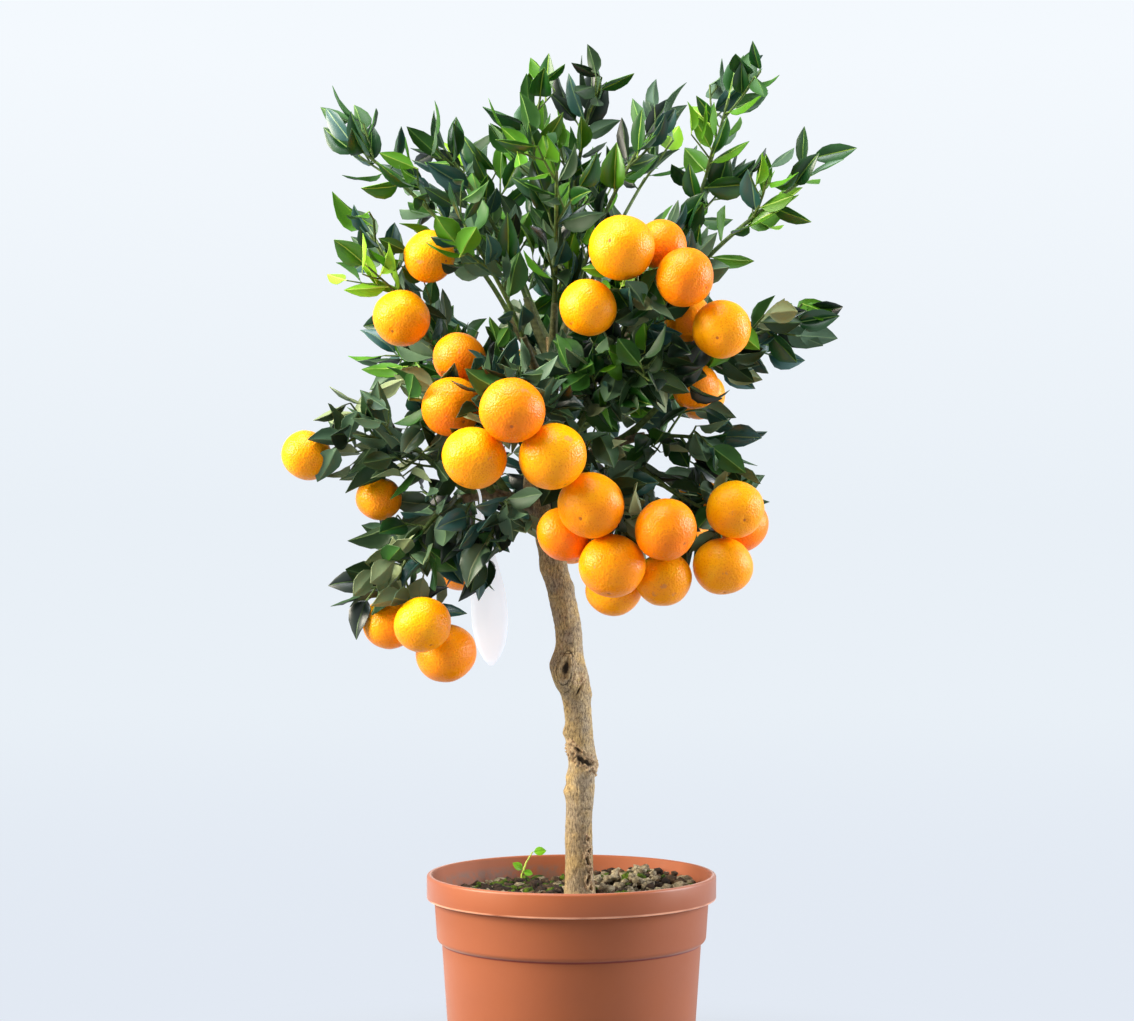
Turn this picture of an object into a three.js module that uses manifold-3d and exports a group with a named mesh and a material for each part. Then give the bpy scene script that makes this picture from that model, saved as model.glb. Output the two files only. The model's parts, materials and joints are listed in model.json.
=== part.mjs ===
// A chinotto orange tree in its pot: a small citrus trained as a standard, with a bare trunk, forking boughs,
// open masses of leafy shoots and ripe fruit, in a terracotta-coloured plastic pot filled with coarse soil.
// Millimetres, +Z up. The origin is the centre of the pot's underside, and the front of the tree faces -Y.

import * as THREE from "three";
import { mergeVertices } from "three/addons/utils/BufferGeometryUtils.js";
import Module from "manifold-3d";

const wasm = await Module();
wasm.setup();

const GAP = 0.35; // clearance between pieces that meet
const UP = new THREE.Vector3(0, 0, 1);
const GOLDEN_ANGLE = Math.PI * (3 - Math.sqrt(5));

const POT = {
  height: 210,
  rimRadius: 120,
  rimHeight: 20,
  rimWall: 4.5,
  rimRound: 1.5,
  collarRadius: 113.8,
  collarFootRadius: 111.5,
  stepTop: 156,
  stepFoot: 150,
  stepDepth: 4,
  baseRadius: 97,
  baseRound: 3,
  wall: 2.2,
  floor: 3,
  sides: 36,
  drainHoles: 8,
  drainRadius: 6,
  drainCircle: 66,
};

const SOIL = { top: 188, crown: 2.5, lumps: 1.6, rings: 4, sides: 18, flatRadius: 40 };

const TRUNK = {
  // centre line from the soil up to the foot of the highest shoots
  line: [
    [7, 0, SOIL.top + GAP],
    [6, 0, 250],
    [8, 0, 300],
    [4.5, 0, 350],
    [-1, 0, 385],
    [-3, 0, 415],
    [-13, 0, 460],
    [-20, 0, 490],
    [-30, 1, 525],
    [-27, 4, 570],
    [-17, 5, 620],
    [-15, 5, 655],
  ],
  footRadius: 11.3,
  topRadius: 6,
  flare: 3.2,
  flareHeight: 12,
  sides: 9,
  steps: 28,
  // healed cuts and buds: height, side they stand on in degrees from +X, how far they swell, and their spread
  knots: [
    { height: 384, side: 205, swell: 6.2, spread: 10 },
    { height: 369, side: 205, swell: 4.4, spread: 9 },
    { height: 370, side: 0, swell: 2.5, spread: 13 },
    { height: 378, side: 262, swell: 1.8, spread: 8 },
    { height: 303, side: -10, swell: 2.4, spread: 9 },
    { height: 328, side: 180, swell: 2.4, spread: 5 },
    { height: 290, side: 185, swell: 1.6, spread: 5 },
    { height: 357, side: 5, swell: 1.6, spread: 5 },
    { height: 466, side: 170, swell: 2, spread: 8 },
    { height: 277, side: 182, swell: 2.2, spread: 4.5 },
    { height: 446, side: 5, swell: 1.4, spread: 5 },
  ],
};

// How a mass carries itself: how much its bough bows up, how much its shoots and leaves turn up, and the angle
// from a twig to its leaves in degrees.
const UPRIGHT = { bow: -0.05, rise: 0.4, leafRise: 0.05, leafSpread: 52 };
const SPREADING = { bow: -0.05, rise: 0.2, leafRise: -0.1, leafSpread: 58 };
const HANGING = { bow: 0.12, rise: -0.15, leafRise: -0.4, leafSpread: 54 };

// Each branch is a bough and the mass of foliage it carries. parent and at say which limb the bough leaves and
// how far along it, joint is the bough's tip, tip is the far end of the mass's own stem, and reach is how far
// from that stem its leaves go. fruit lists centres and diameters, and bears is how many more the rule adds.
const BRANCHES = [
  { name: "top_centre", parent: "trunk", at: 1, tip: [-36, -8, 844], reach: 54, habit: UPRIGHT },
  { name: "left_top", parent: "trunk", at: 0.925, joint: [-52, -2, 674], tip: [-184, -18, 816], reach: 46, habit: UPRIGHT },
  { name: "upper_left", parent: "trunk", at: 0.95, joint: [-38, 6, 688], tip: [-106, -4, 812], reach: 50, habit: UPRIGHT },
  { name: "top_right", parent: "trunk", at: 0.955, joint: [4, 3, 694], tip: [62, -8, 822], reach: 54, habit: UPRIGHT },
  { name: "front_top", parent: "trunk", at: 0.94, joint: [-14, -22, 682], tip: [-12, -92, 784], reach: 54, habit: UPRIGHT },
  { name: "front_top_left", parent: "trunk", at: 0.9, joint: [-40, -24, 654], tip: [-86, -84, 738], reach: 48, habit: UPRIGHT },
  { name: "right_tall", parent: "trunk", at: 0.82, joint: [62, 2, 680], tip: [131, -12, 857], reach: 52, habit: UPRIGHT },
  { name: "right_outer", parent: "right_tall", at: 0.8, joint: [94, -10, 700], tip: [196, -26, 786], reach: 46, habit: UPRIGHT },
  {
    name: "front_right",
    parent: "front_low",
    at: 0.5,
    joint: [24, -44, 612],
    tip: [52, -92, 690],
    reach: 56,
    habit: SPREADING,
    fruit: [
      [39, -121, 717, 52],
      [72, -80, 723, 42],
      [89, -118, 694, 47],
      [13, -110, 671, 46],
    ],
  },
  {
    name: "heart",
    parent: "trunk",
    at: 0.86,
    joint: [-4, -26, 608],
    tip: [76, -84, 624],
    reach: 54,
    habit: SPREADING,
  },
  {
    name: "right_mid",
    parent: "right_low",
    at: 0.8,
    joint: [86, -30, 614],
    tip: [183, -46, 664],
    reach: 41,
    habit: SPREADING,
    fruit: [
      [94, -55, 667, 39],
      [119, -95, 655, 47],
      [100, -52, 612, 39],
    ],
  },
  { name: "right_low", parent: "trunk", at: 0.7, joint: [60, -20, 572], tip: [124, -44, 568], reach: 50, habit: HANGING },
  {
    name: "right_hanging",
    parent: "right_low",
    at: 0.55,
    joint: [70, -36, 536],
    tip: [118, -38, 508],
    reach: 52,
    habit: HANGING,
    fruit: [
      [131, -76, 512, 47],
      [139, -26, 499, 46],
      [122, -60, 466, 49],
      [110, 15, 521, 42],
    ],
  },
  {
    name: "front_low",
    parent: "trunk",
    at: 0.74,
    joint: [0, -44, 552],
    tip: [38, -74, 497],
    reach: 54,
    habit: HANGING,
    fruit: [
      [15, -111, 515, 53],
      [-6, -77, 492, 45],
      [74, -108, 496, 50],
      [32, -94, 467, 53],
      [34, -47, 447, 46],
      [74, -69, 456, 46],
    ],
  },
  {
    name: "front_left",
    parent: "trunk",
    at: 0.8,
    joint: [-42, -44, 584],
    tip: [-46, -122, 594],
    reach: 56,
    habit: SPREADING,
    fruit: [
      [-46, -161, 588, 51],
      [-76, -136, 552, 51],
      [-15, -138, 553, 54],
    ],
  },
  {
    name: "left_front",
    parent: "left_low",
    at: 0.62,
    joint: [-82, -38, 574],
    tip: [-132, -84, 600],
    reach: 54,
    habit: SPREADING,
    fruit: [
      [-91, -50, 634, 44],
      [-96, -80, 594, 49],
    ],
  },
  {
    name: "left_outer",
    parent: "left_low",
    at: 0.8,
    joint: [-116, -28, 552],
    tip: [-180, -46, 572],
    reach: 48,
    habit: SPREADING,
    fruit: [
      [-216, -40, 556, 42],
      [-158, -26, 521, 38],
    ],
  },
  {
    name: "left_upper",
    parent: "left_low",
    at: 0.4,
    joint: [-100, -8, 612],
    tip: [-168, -16, 742],
    reach: 50,
    habit: UPRIGHT,
    fruit: [
      [-116, -40, 718, 43],
      [-139, -36, 668, 47],
    ],
  },
  {
    name: "left_low",
    parent: "trunk",
    at: 0.69,
    joint: [-90, -20, 520],
    tip: [-144, -48, 446],
    reach: 56,
    habit: HANGING,
    fruit: [
      [-119, -86, 420, 46],
      [-148, -46, 419, 44],
      [-102, -44, 395, 50],
    ],
  },
  { name: "left_inner", parent: "left_low", at: 0.3, joint: [-58, -36, 506], tip: [-74, -50, 476], reach: 48, habit: HANGING },
  { name: "back_top_left", parent: "trunk", at: 0.975, joint: [-34, 32, 686], tip: [-88, 92, 802], reach: 58, habit: UPRIGHT },
  { name: "back_top_right", parent: "trunk", at: 0.93, joint: [6, 36, 676], tip: [66, 92, 802], reach: 58, habit: UPRIGHT },
  { name: "back_left", parent: "back_mid", at: 0.55, joint: [-62, 50, 592], tip: [-144, 92, 656], reach: 58, habit: SPREADING, bears: 1 },
  { name: "back_mid", parent: "trunk", at: 0.76, joint: [-22, 52, 594], tip: [-12, 142, 668], reach: 58, habit: SPREADING, bears: 1 },
  { name: "back_right", parent: "back_mid", at: 0.45, joint: [34, 48, 598], tip: [128, 84, 660], reach: 58, habit: SPREADING, bears: 1 },
  { name: "back_low_left", parent: "left_low", at: 0.5, joint: [-76, 34, 526], tip: [-132, 84, 494], reach: 56, habit: HANGING, bears: 1 },
  { name: "back_low", parent: "back_mid", at: 0.3, joint: [-18, 58, 546], tip: [-14, 128, 512], reach: 56, habit: HANGING, bears: 2 },
  { name: "back_low_right", parent: "right_low", at: 0.35, joint: [44, 38, 548], tip: [112, 92, 520], reach: 56, habit: HANGING, bears: 1 },
  { name: "top_middle", parent: "top_right", at: 0.6, joint: [-4, 22, 704], tip: [16, 6, 850], reach: 52, habit: UPRIGHT },
];

// A limb's root is a share of its parent's thickness there, and its tip a share of its root.
const BOUGH = { rootShare: 0.6, tipShare: 0.62, thinnest: 3, sides: 5, steps: 4 };
const STEM = { rootRadius: 2.2, tipRadius: 1.3, sides: 3, steps: 4, bare: 0.16, onward: 0.4 };
const SHOOT = { radius: 1.2, spacing: 50, share: [0.3, 0.44], spread: [72, 40], tries: [1, 0.65], shortest: 9 };
const STALK = { radius: 1.1, sunk: 0.6 };
// The tree has some thousands of leaves, so these are fewer and larger than life: length is a share of the reach.
const LEAF = { length: [0.78, 0.96], width: 0.54, thickness: 1.5, widest: 0.46, spacing: 12, sunk: 0.5 };
const LEAF_TRIES = 6;
const LEAF_APART = 0.24; // least distance between two leaves' midribs, in leaf lengths
const FRUIT = { diameter: [40, 52], hang: 6, flatten: 0.94 };
const SHARE_MARGIN = 0.035; // how much nearer to its own stem a leaf has to be than to any other, in reaches
const CLEAR = 0.9; // least distance from a leaf to wood or fruit that isn't its own

// A small repeatable random source.
function dice(seed) {
  let state = seed >>> 0;
  return () => {
    state = (state + 0x6d2b79f5) >>> 0;
    let mixed = Math.imul(state ^ (state >>> 15), state | 1);
    mixed ^= mixed + Math.imul(mixed ^ (mixed >>> 7), mixed | 61);
    return ((mixed ^ (mixed >>> 14)) >>> 0) / 4294967296;
  };
}

const mix = (from, to, share) => from + (to - from) * share;
const radians = (degrees) => (degrees * Math.PI) / 180;
const point = (xyz) => new THREE.Vector3(...xyz);

// A unit vector square to axis, turned round it by azimuth.
function sideways(axis, azimuth) {
  const reference = Math.abs(axis.z) > 0.9 ? new THREE.Vector3(0, -1, 0) : UP;
  const across = new THREE.Vector3().crossVectors(axis, reference).normalize();
  const other = new THREE.Vector3().crossVectors(across, axis);
  return across.multiplyScalar(Math.cos(azimuth)).addScaledVector(other, Math.sin(azimuth));
}

// A closed manifold-3d solid from a three.js geometry.
function solidFrom(geometry) {
  const bare = geometry.clone();
  bare.deleteAttribute("normal");
  bare.deleteAttribute("uv");
  const merged = mergeVertices(bare, 1e-4);
  const corners = merged.index.array;
  const triangles = [];
  for (let i = 0; i < corners.length; i += 3) {
    const [a, b, c] = [corners[i], corners[i + 1], corners[i + 2]];
    if (a !== b && b !== c && c !== a) triangles.push(a, b, c);
  }
  const vertProperties = merged.getAttribute("position").array;
  return new wasm.Manifold(new wasm.Mesh({ numProp: 3, vertProperties, triVerts: new Uint32Array(triangles) }));
}

// A named mesh from a solid's largest body, with loose scraps and sealed hollows dropped.
function meshFrom(name, solid, material) {
  const body = solid.decompose().reduce((kept, next) => (next.volume() > kept.volume() ? next : kept));
  const { vertProperties, triVerts } = body.getMesh();
  const geometry = new THREE.BufferGeometry();
  geometry.setAttribute("position", new THREE.BufferAttribute(new Float32Array(vertProperties), 3));
  geometry.setIndex(new THREE.BufferAttribute(new Uint32Array(triVerts), 1));
  geometry.computeVertexNormals();
  const mesh = new THREE.Mesh(geometry, material);
  mesh.name = name;
  return mesh;
}

// A closed tube along a curve. radiusAt is given the share of the length, the point and the outward direction.
function tube(curve, radiusAt, sides, steps) {
  const geometry = new THREE.CylinderGeometry(1, 1, 1, sides, steps);
  const centres = curve.getSpacedPoints(steps);
  const { normals, binormals } = curve.computeFrenetFrames(steps);
  const vertices = geometry.getAttribute("position");
  for (let i = 0; i < vertices.count; i++) {
    const step = Math.round((vertices.getY(i) + 0.5) * steps);
    const offset = normals[step].clone().multiplyScalar(vertices.getX(i));
    offset.addScaledVector(binormals[step], -vertices.getZ(i));
    offset.multiplyScalar(radiusAt(step / steps, centres[step], offset)).add(centres[step]);
    vertices.setXYZ(i, offset.x, offset.y, offset.z);
  }
  return solidFrom(geometry);
}

const tapered = (rootRadius, tipRadius) => (share) => mix(rootRadius, tipRadius, share);

// A curve from start to end whose middle is lifted by rise times its length.
function bowed(start, end, rise) {
  const middle = start.clone().lerp(end, 0.5);
  middle.z += rise * start.distanceTo(end) * 2;
  return new THREE.QuadraticBezierCurve3(start, middle, end);
}

// The pot: a lathed wall with a flat underside, a step under the collar and a thick rim.
function makePot() {
  const { height, rimRadius, rimHeight, rimWall, rimRound, wall, floor, baseRound } = POT;
  const stepRadius = POT.collarFootRadius - POT.stepDepth;
  const rimFoot = height - rimHeight;
  const outside = [
    [0, 0],
    [POT.baseRadius - baseRound, 0],
    [POT.baseRadius, baseRound],
    [stepRadius, POT.stepFoot],
    [POT.collarFootRadius, POT.stepTop],
    [POT.collarRadius, rimFoot],
    [rimRadius - rimRound, rimFoot],
    [rimRadius, rimFoot + rimRound],
    [rimRadius, height - rimRound],
    [rimRadius - rimRound, height],
  ];
  const inside = [
    [rimRadius - rimWall + rimRound, height],
    [rimRadius - rimWall, height - rimRound],
    [POT.collarRadius - wall, rimFoot],
    [POT.collarFootRadius - wall, POT.stepTop],
    [stepRadius - wall, POT.stepFoot],
    [POT.baseRadius - wall, floor],
    [0, floor],
  ];
  const profile = [...outside, ...inside].map(([r, z]) => new THREE.Vector2(r, z));
  let pot = solidFrom(new THREE.LatheGeometry(profile, POT.sides).rotateX(Math.PI / 2));
  for (let i = 0; i < POT.drainHoles; i++) {
    const angle = (i / POT.drainHoles) * 2 * Math.PI;
    const drill = new THREE.CylinderGeometry(POT.drainRadius, POT.drainRadius, 4 * floor, 8);
    drill.rotateX(Math.PI / 2).translate(POT.drainCircle * Math.cos(angle), POT.drainCircle * Math.sin(angle), 0);
    pot = pot.subtract(solidFrom(drill));
  }
  return pot;
}

// The soil: a plug that fills the pot, a gap clear of its wall, with a lumpy top that is flat round the trunk.
function makeSoil() {
  const stepRadius = POT.collarFootRadius - POT.stepDepth;
  const clear = POT.wall + GAP;
  const collarSlope = (POT.collarRadius - POT.collarFootRadius) / (POT.height - POT.rimHeight - POT.stepTop);
  const topRadius = POT.collarFootRadius - clear + collarSlope * (SOIL.top - POT.stepTop);
  const wallLine = [
    [0, POT.floor + GAP],
    [POT.baseRadius - clear - 1, POT.floor + GAP],
    [stepRadius - clear, POT.stepFoot],
    [POT.collarFootRadius - clear, POT.stepTop + 0.5],
  ];
  const topLine = [];
  for (let i = 0; i <= SOIL.rings; i++) topLine.push([topRadius * (1 - i / SOIL.rings), SOIL.top]);
  const profile = [...wallLine, ...topLine].map(([r, z]) => new THREE.Vector2(r, z));
  const geometry = new THREE.LatheGeometry(profile, SOIL.sides).rotateX(Math.PI / 2);
  const vertices = geometry.getAttribute("position");
  for (let i = 0; i < vertices.count; i++) {
    const [x, y] = [vertices.getX(i), vertices.getY(i)];
    const fromTrunk = Math.hypot(x - TRUNK.line[0][0], y - TRUNK.line[0][1]);
    if (vertices.getZ(i) < SOIL.top - 1 || fromTrunk < SOIL.flatRadius) continue;
    const lump = Math.sin(x * 0.31 + 1.3) * Math.cos(y * 0.27) + 0.6 * Math.sin(x * 0.13 - y * 0.19);
    const slope = SOIL.crown * (x / topRadius);
    vertices.setZ(i, SOIL.top + SOIL.lumps * lump + slope);
  }
  return solidFrom(geometry);
}

// The trunk's radius at a height, on the side that outward points to.
function trunkRadius(share, centre, outward) {
  const { footRadius, topRadius, flare, flareHeight, knots, line } = TRUNK;
  const foot = line[0][2];
  const top = line[line.length - 1][2];
  const risen = (centre.z - foot) / (top - foot);
  let radius = mix(footRadius, topRadius, risen ** 4) + flare * Math.exp(-(centre.z - foot) / flareHeight);
  for (const { height, side, swell, spread } of knots) {
    const facing = Math.cos(Math.atan2(outward.y, outward.x) - radians(side));
    radius += swell * Math.exp(-(((centre.z - height) / spread) ** 2)) * Math.max(0, facing);
  }
  return radius;
}

// Wood and fruit that leaves of other masses keep clear of.
class Obstacles {
  constructor() {
    this.capsules = [];
  }

  addCurve(curve, radiusAt, owner, pieces = 8) {
    const points = curve.getPoints(pieces);
    for (let i = 0; i < pieces; i++) {
      const radius = Math.max(radiusAt(i / pieces), radiusAt((i + 1) / pieces));
      this.capsules.push({ line: new THREE.Line3(points[i], points[i + 1]), radius, owner });
    }
  }

  addBall(centre, radius, owner) {
    this.capsules.push({ line: new THREE.Line3(centre, centre.clone().addScaledVector(UP, 0.01)), radius, owner, ball: true });
  }

  // True if every place is at least margin from what other owners have, and from all fruit.
  clearOf(places, owner, margin) {
    const nearest = new THREE.Vector3();
    for (const { line, radius, owner: theirs, ball } of this.capsules) {
      if (theirs === owner && !ball) continue;
      for (const place of places) {
        line.closestPointToPoint(place, true, nearest);
        if (nearest.distanceTo(place) < radius + margin) return false;
      }
    }
    return true;
  }
}

// The space that a mass keeps to: within reach of its stem, and nearer to it than to any other mass.
class Space {
  constructor(stem, reach) {
    this.points = stem.getPoints(8);
    this.reach = reach;
  }

  depth(place) {
    const line = new THREE.Line3();
    const nearest = new THREE.Vector3();
    let least = Infinity;
    for (let i = 1; i < this.points.length; i++) {
      line.set(this.points[i - 1], this.points[i]).closestPointToPoint(place, true, nearest);
      least = Math.min(least, nearest.distanceTo(place));
    }
    return least / this.reach;
  }
}

// One mass of foliage, planned twig by twig before any solid is made.
class Mass {
  constructor(branch, stem, seed) {
    Object.assign(this, branch, { stem, seed });
    this.space = new Space(stem, branch.reach);
    this.twigs = [];
    this.stalks = [];
    this.balls = [];
    this.leaves = [];
  }

  // True if every place is in this mass's own space.
  owns(places, masses) {
    return places.every((place) => {
      const depth = this.space.depth(place);
      if (depth > 1) return false;
      return masses.every((other) => other === this || other.space.depth(place) > depth + SHARE_MARGIN);
    });
  }

  planFruit(obstacles) {
    for (const [x, y, z, diameter] of this.fruit ?? []) {
      this.addFruit(new THREE.Vector3(x, y, z), diameter / 2, obstacles);
    }
  }

  // Hangs a fruit: the stalk leaves the nearest part of the stem and enters the fruit from above.
  addFruit(centre, radius, obstacles) {
    const places = this.stem.getPoints(12).slice(2);
    const root = places.reduce((kept, next) => (next.distanceTo(centre) < kept.distanceTo(centre) ? next : kept));
    const towards = root.clone().sub(centre).normalize().multiplyScalar(0.8).add(UP).normalize();
    const collar = centre.clone().addScaledVector(towards, radius * STALK.sunk);
    const bend = centre.clone().addScaledVector(towards, radius + FRUIT.hang);
    this.stalks.push(new THREE.QuadraticBezierCurve3(root, bend, collar));
    this.balls.push({ centre, radius, towards });
    obstacles.addBall(centre, radius, this.name);
    obstacles.addCurve(this.stalks.at(-1), () => STALK.radius, this.name, 4);
  }

  // More fruit where the front view doesn't reach, hung round the outer half of the stem.
  plantMore(obstacles, masses) {
    const roll = dice(this.seed * 1000 + 7);
    let wanted = this.bears ?? 0;
    for (let i = 0; i < 40 && wanted > 0; i++) {
      const radius = mix(...FRUIT.diameter, roll()) / 2;
      const share = mix(0.45, 1, roll());
      const axis = this.stem.getTangent(share);
      const centre = this.stem.getPoint(share).addScaledVector(sideways(axis, roll() * 2 * Math.PI), radius + 5);
      centre.z -= radius * 0.6;
      if (!this.owns([centre], masses) || !obstacles.clearOf([centre], "", radius + 2)) continue;
      this.addFruit(centre, radius, obstacles);
      wanted -= 1;
    }
  }

  // Straight side shoots in a spiral up the stem, opener at its foot than at its tip.
  planShoots(obstacles, masses) {
    const { stem, reach, habit } = this;
    const count = Math.round((stem.getLength() * (1 - STEM.bare)) / SHOOT.spacing);
    for (let i = 0; i < count; i++) {
      const roll = dice(this.seed * 1000 + 100 + i);
      const share = mix(STEM.bare, 0.95, (i + mix(0.3, 0.8, roll())) / count);
      const start = stem.getPointAt(share);
      const axis = stem.getTangentAt(share);
      const spread = radians(mix(...SHOOT.spread, share) + 12 * (roll() - 0.5));
      const heading = axis.clone().multiplyScalar(Math.cos(spread));
      heading.addScaledVector(sideways(axis, i * GOLDEN_ANGLE + this.seed), Math.sin(spread));
      heading.addScaledVector(UP, habit.rise).normalize();
      const full = reach * mix(...SHOOT.share, roll());
      for (const cut of SHOOT.tries) {
        if (full * cut < SHOOT.shortest) break;
        const line = new THREE.LineCurve3(start, start.clone().addScaledVector(heading, full * cut));
        const places = line.getPoints(4).slice(1);
        if (this.owns(places, masses) && obstacles.clearOf(places, this.name, SHOOT.radius + CLEAR)) {
          this.twigs.push(line);
          obstacles.addCurve(line, () => SHOOT.radius, this.name, 1);
          break;
        }
      }
    }
  }

  // Leaves stand in a spiral along the stem's outer part and along each shoot, with one at each tip.
  planLeaves(obstacles, masses) {
    this.leafTwig(this.stem, STEM.bare, obstacles, masses, dice(this.seed * 1000 + 500));
    this.twigs.forEach((twig, i) => this.leafTwig(twig, 0.1, obstacles, masses, dice(this.seed * 1000 + 501 + i)));
  }

  leafTwig(twig, bare, obstacles, masses, roll) {
    const length = twig.getLength();
    const count = Math.floor((length * (0.97 - bare)) / LEAF.spacing) + 1;
    const phase = roll() * 2 * Math.PI;
    for (let i = 0; i < count; i++) {
      const share = 0.97 - (i * LEAF.spacing) / length;
      const root = twig.getPointAt(share);
      const axis = twig.getTangentAt(share);
      for (let turn = 0; turn < LEAF_TRIES; turn++) {
        const azimuth = phase + i * GOLDEN_ANGLE + (turn * 2 * Math.PI) / LEAF_TRIES;
        const spread = radians(i === 0 ? 12 + 14 * turn : this.habit.leafSpread + 24 * (roll() - 0.5));
        const size = this.reach * mix(...LEAF.length, roll());
        const leaf = new Leaf(root, axis, azimuth, spread, size, roll() - 0.5, this.habit.leafRise);
        if (this.leaves.some((other) => other.crowds(leaf))) continue;
        if (this.owns(leaf.places, masses) && obstacles.clearOf(leaf.places, this.name, CLEAR)) {
          this.leaves.push(leaf);
          break;
        }
      }
    }
  }

  // Stem, shoots, stalks, fruit and leaves fused to one solid.
  solid() {
    const parts = [tube(this.stem, tapered(STEM.rootRadius, STEM.tipRadius), STEM.sides, STEM.steps)];
    for (const line of this.twigs) parts.push(tube(line, () => SHOOT.radius, 3, 1));
    for (const curve of this.stalks) parts.push(tube(curve, () => STALK.radius, 3, 2));
    for (const { centre, radius, towards } of this.balls) {
      const ball = new THREE.SphereGeometry(radius, 8, 4).rotateY(Math.PI / 8).rotateX(Math.PI / 8).scale(1, 1, FRUIT.flatten);
      ball.applyQuaternion(new THREE.Quaternion().setFromUnitVectors(UP, towards));
      parts.push(solidFrom(ball.translate(centre.x, centre.y, centre.z)));
    }
    for (const leaf of this.leaves) parts.push(leaf.solid());
    return wasm.Manifold.union(parts);
  }
}

// One leaf: a thin blade with a keel under its midrib.
class Leaf {
  constructor(root, axis, azimuth, spread, length, turn, rise) {
    const heading = axis.clone().multiplyScalar(Math.cos(spread));
    heading.addScaledVector(sideways(axis, azimuth), Math.sin(spread)).addScaledVector(UP, rise).normalize();
    const facing = axis.clone().addScaledVector(heading, -axis.dot(heading));
    if (facing.length() < 0.2) facing.copy(sideways(heading, azimuth));
    facing.normalize();
    const across = new THREE.Vector3().crossVectors(facing, heading);
    across.multiplyScalar(Math.cos(turn)).addScaledVector(facing, Math.sin(turn));
    this.up = new THREE.Vector3().crossVectors(heading, across);
    this.across = across;
    this.heading = heading;
    this.length = length;
    this.root = root;
    this.places = this.outline();
  }

  // A place on the blade: along from 0 at the root to 1 at the tip, side from -1 to 1, and lift off it.
  at(along, side, lift = 0) {
    const half = (this.length * LEAF.width) / 2;
    return this.root
      .clone()
      .addScaledVector(this.heading, this.length * along)
      .addScaledVector(this.across, half * side)
      .addScaledVector(this.up, lift);
  }

  outline() {
    const places = [this.at(1, 0), this.at(0.72, 0), this.at(LEAF.widest, 0)];
    for (const side of [-1, 1]) places.push(this.at(LEAF.widest, side), this.at(0.72, side * 0.5), this.at(0.22, side * 0.5));
    return places;
  }

  // True if the other leaf's midrib comes too near this one's.
  crowds(other) {
    const least = LEAF_APART * Math.min(this.length, other.length);
    const ribs = [0.4, 0.7, 1].map((along) => this.at(along, 0));
    return ribs.some((place) => [0.4, 0.7, 1].some((along) => other.at(along, 0).distanceTo(place) < least));
  }

  // Two edges and a keel that run out to a point at the root and at the tip.
  solid() {
    const profile = [new THREE.Vector2(0, 0), new THREE.Vector2(1, LEAF.widest), new THREE.Vector2(0, 1)];
    const blade = new THREE.LatheGeometry(profile, 3);
    const vertices = blade.getAttribute("position");
    for (let i = 0; i < vertices.count; i++) {
      const [along, edge, keel] = [vertices.getY(i), vertices.getX(i), vertices.getZ(i)];
      const place = this.at(along, edge / Math.sin(Math.PI / 3), keel > 0 ? -LEAF.thickness : 0);
      if (along === 0) place.copy(this.root).addScaledVector(this.heading, -LEAF.sunk);
      vertices.setXYZ(i, place.x, place.y, place.z);
    }
    return solidFrom(blade);
  }
}

const finish = (color, roughness) => new THREE.MeshStandardMaterial({ color, roughness, metalness: 0 });
const terracotta = finish(0xc06a45, 0.45);
const earth = finish(0x4a3b2c, 0.95);
const bark = finish(0x9a8360, 0.85);
const greenWood = finish(0x5c6b3a, 0.7);
const foliage = finish(0x2f5a2c, 0.45);

// Boughs first: each leaves its parent's centre line, and is cut a gap clear of the parent's surface.
const trunkCurve = new THREE.CatmullRomCurve3(TRUNK.line.map(point));
const limbs = new Map();
limbs.set("trunk", { curve: trunkCurve, radiusAt: trunkRadius, sides: TRUNK.sides, steps: TRUNK.steps });

function growBough(branch) {
  const parent = limbs.get(branch.parent);
  const start = parent.curve.getPointAt(branch.at);
  const curve = bowed(start, point(branch.joint), branch.habit.bow);
  const rootRadius = Math.max(BOUGH.thinnest, BOUGH.rootShare * parent.radiusAt(branch.at, start, UP));
  const radiusAt = tapered(rootRadius, Math.max(STEM.rootRadius, BOUGH.tipShare * rootRadius));
  limbs.set(branch.name, { curve, radiusAt, sides: BOUGH.sides, steps: BOUGH.steps, parent });
}

const waiting = BRANCHES.filter((branch) => branch.joint);
while (waiting.length) {
  const next = waiting.findIndex((branch) => limbs.has(branch.parent));
  growBough(waiting.splice(next, 1)[0]);
}

function limbSolid({ curve, radiusAt, sides, steps }, extra = 0) {
  return tube(curve, (share, centre, outward) => radiusAt(share, centre, outward) + extra, sides, steps);
}

// Then the masses: each stem goes on from its bough's tip, or from the trunk's, in the same direction.
const masses = BRANCHES.map((branch, index) => {
  const limb = limbs.get(branch.joint ? branch.name : "trunk");
  const onward = limb.curve.getTangent(1);
  const start = limb.curve.getPoint(1).addScaledVector(onward, GAP);
  const tip = point(branch.tip);
  const bend = start.clone().addScaledVector(onward, STEM.onward * start.distanceTo(tip));
  return new Mass(branch, new THREE.QuadraticBezierCurve3(start, bend, tip), index + 1);
});

const obstacles = new Obstacles();
const trunkThickness = (share) => trunkRadius(share, trunkCurve.getPoint(share), new THREE.Vector3(0, -1, 0));
obstacles.addCurve(trunkCurve, trunkThickness, "trunk", 24);
for (const branch of BRANCHES) {
  if (branch.joint) obstacles.addCurve(limbs.get(branch.name).curve, limbs.get(branch.name).radiusAt, `${branch.name}_bough`);
}
for (const mass of masses) obstacles.addCurve(mass.stem, tapered(STEM.rootRadius, STEM.tipRadius), mass.name);
for (const mass of masses) mass.planFruit(obstacles);
for (const mass of masses) mass.plantMore(obstacles, masses);
for (const mass of masses) mass.planShoots(obstacles, masses);
for (const mass of masses) mass.planLeaves(obstacles, masses);

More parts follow.
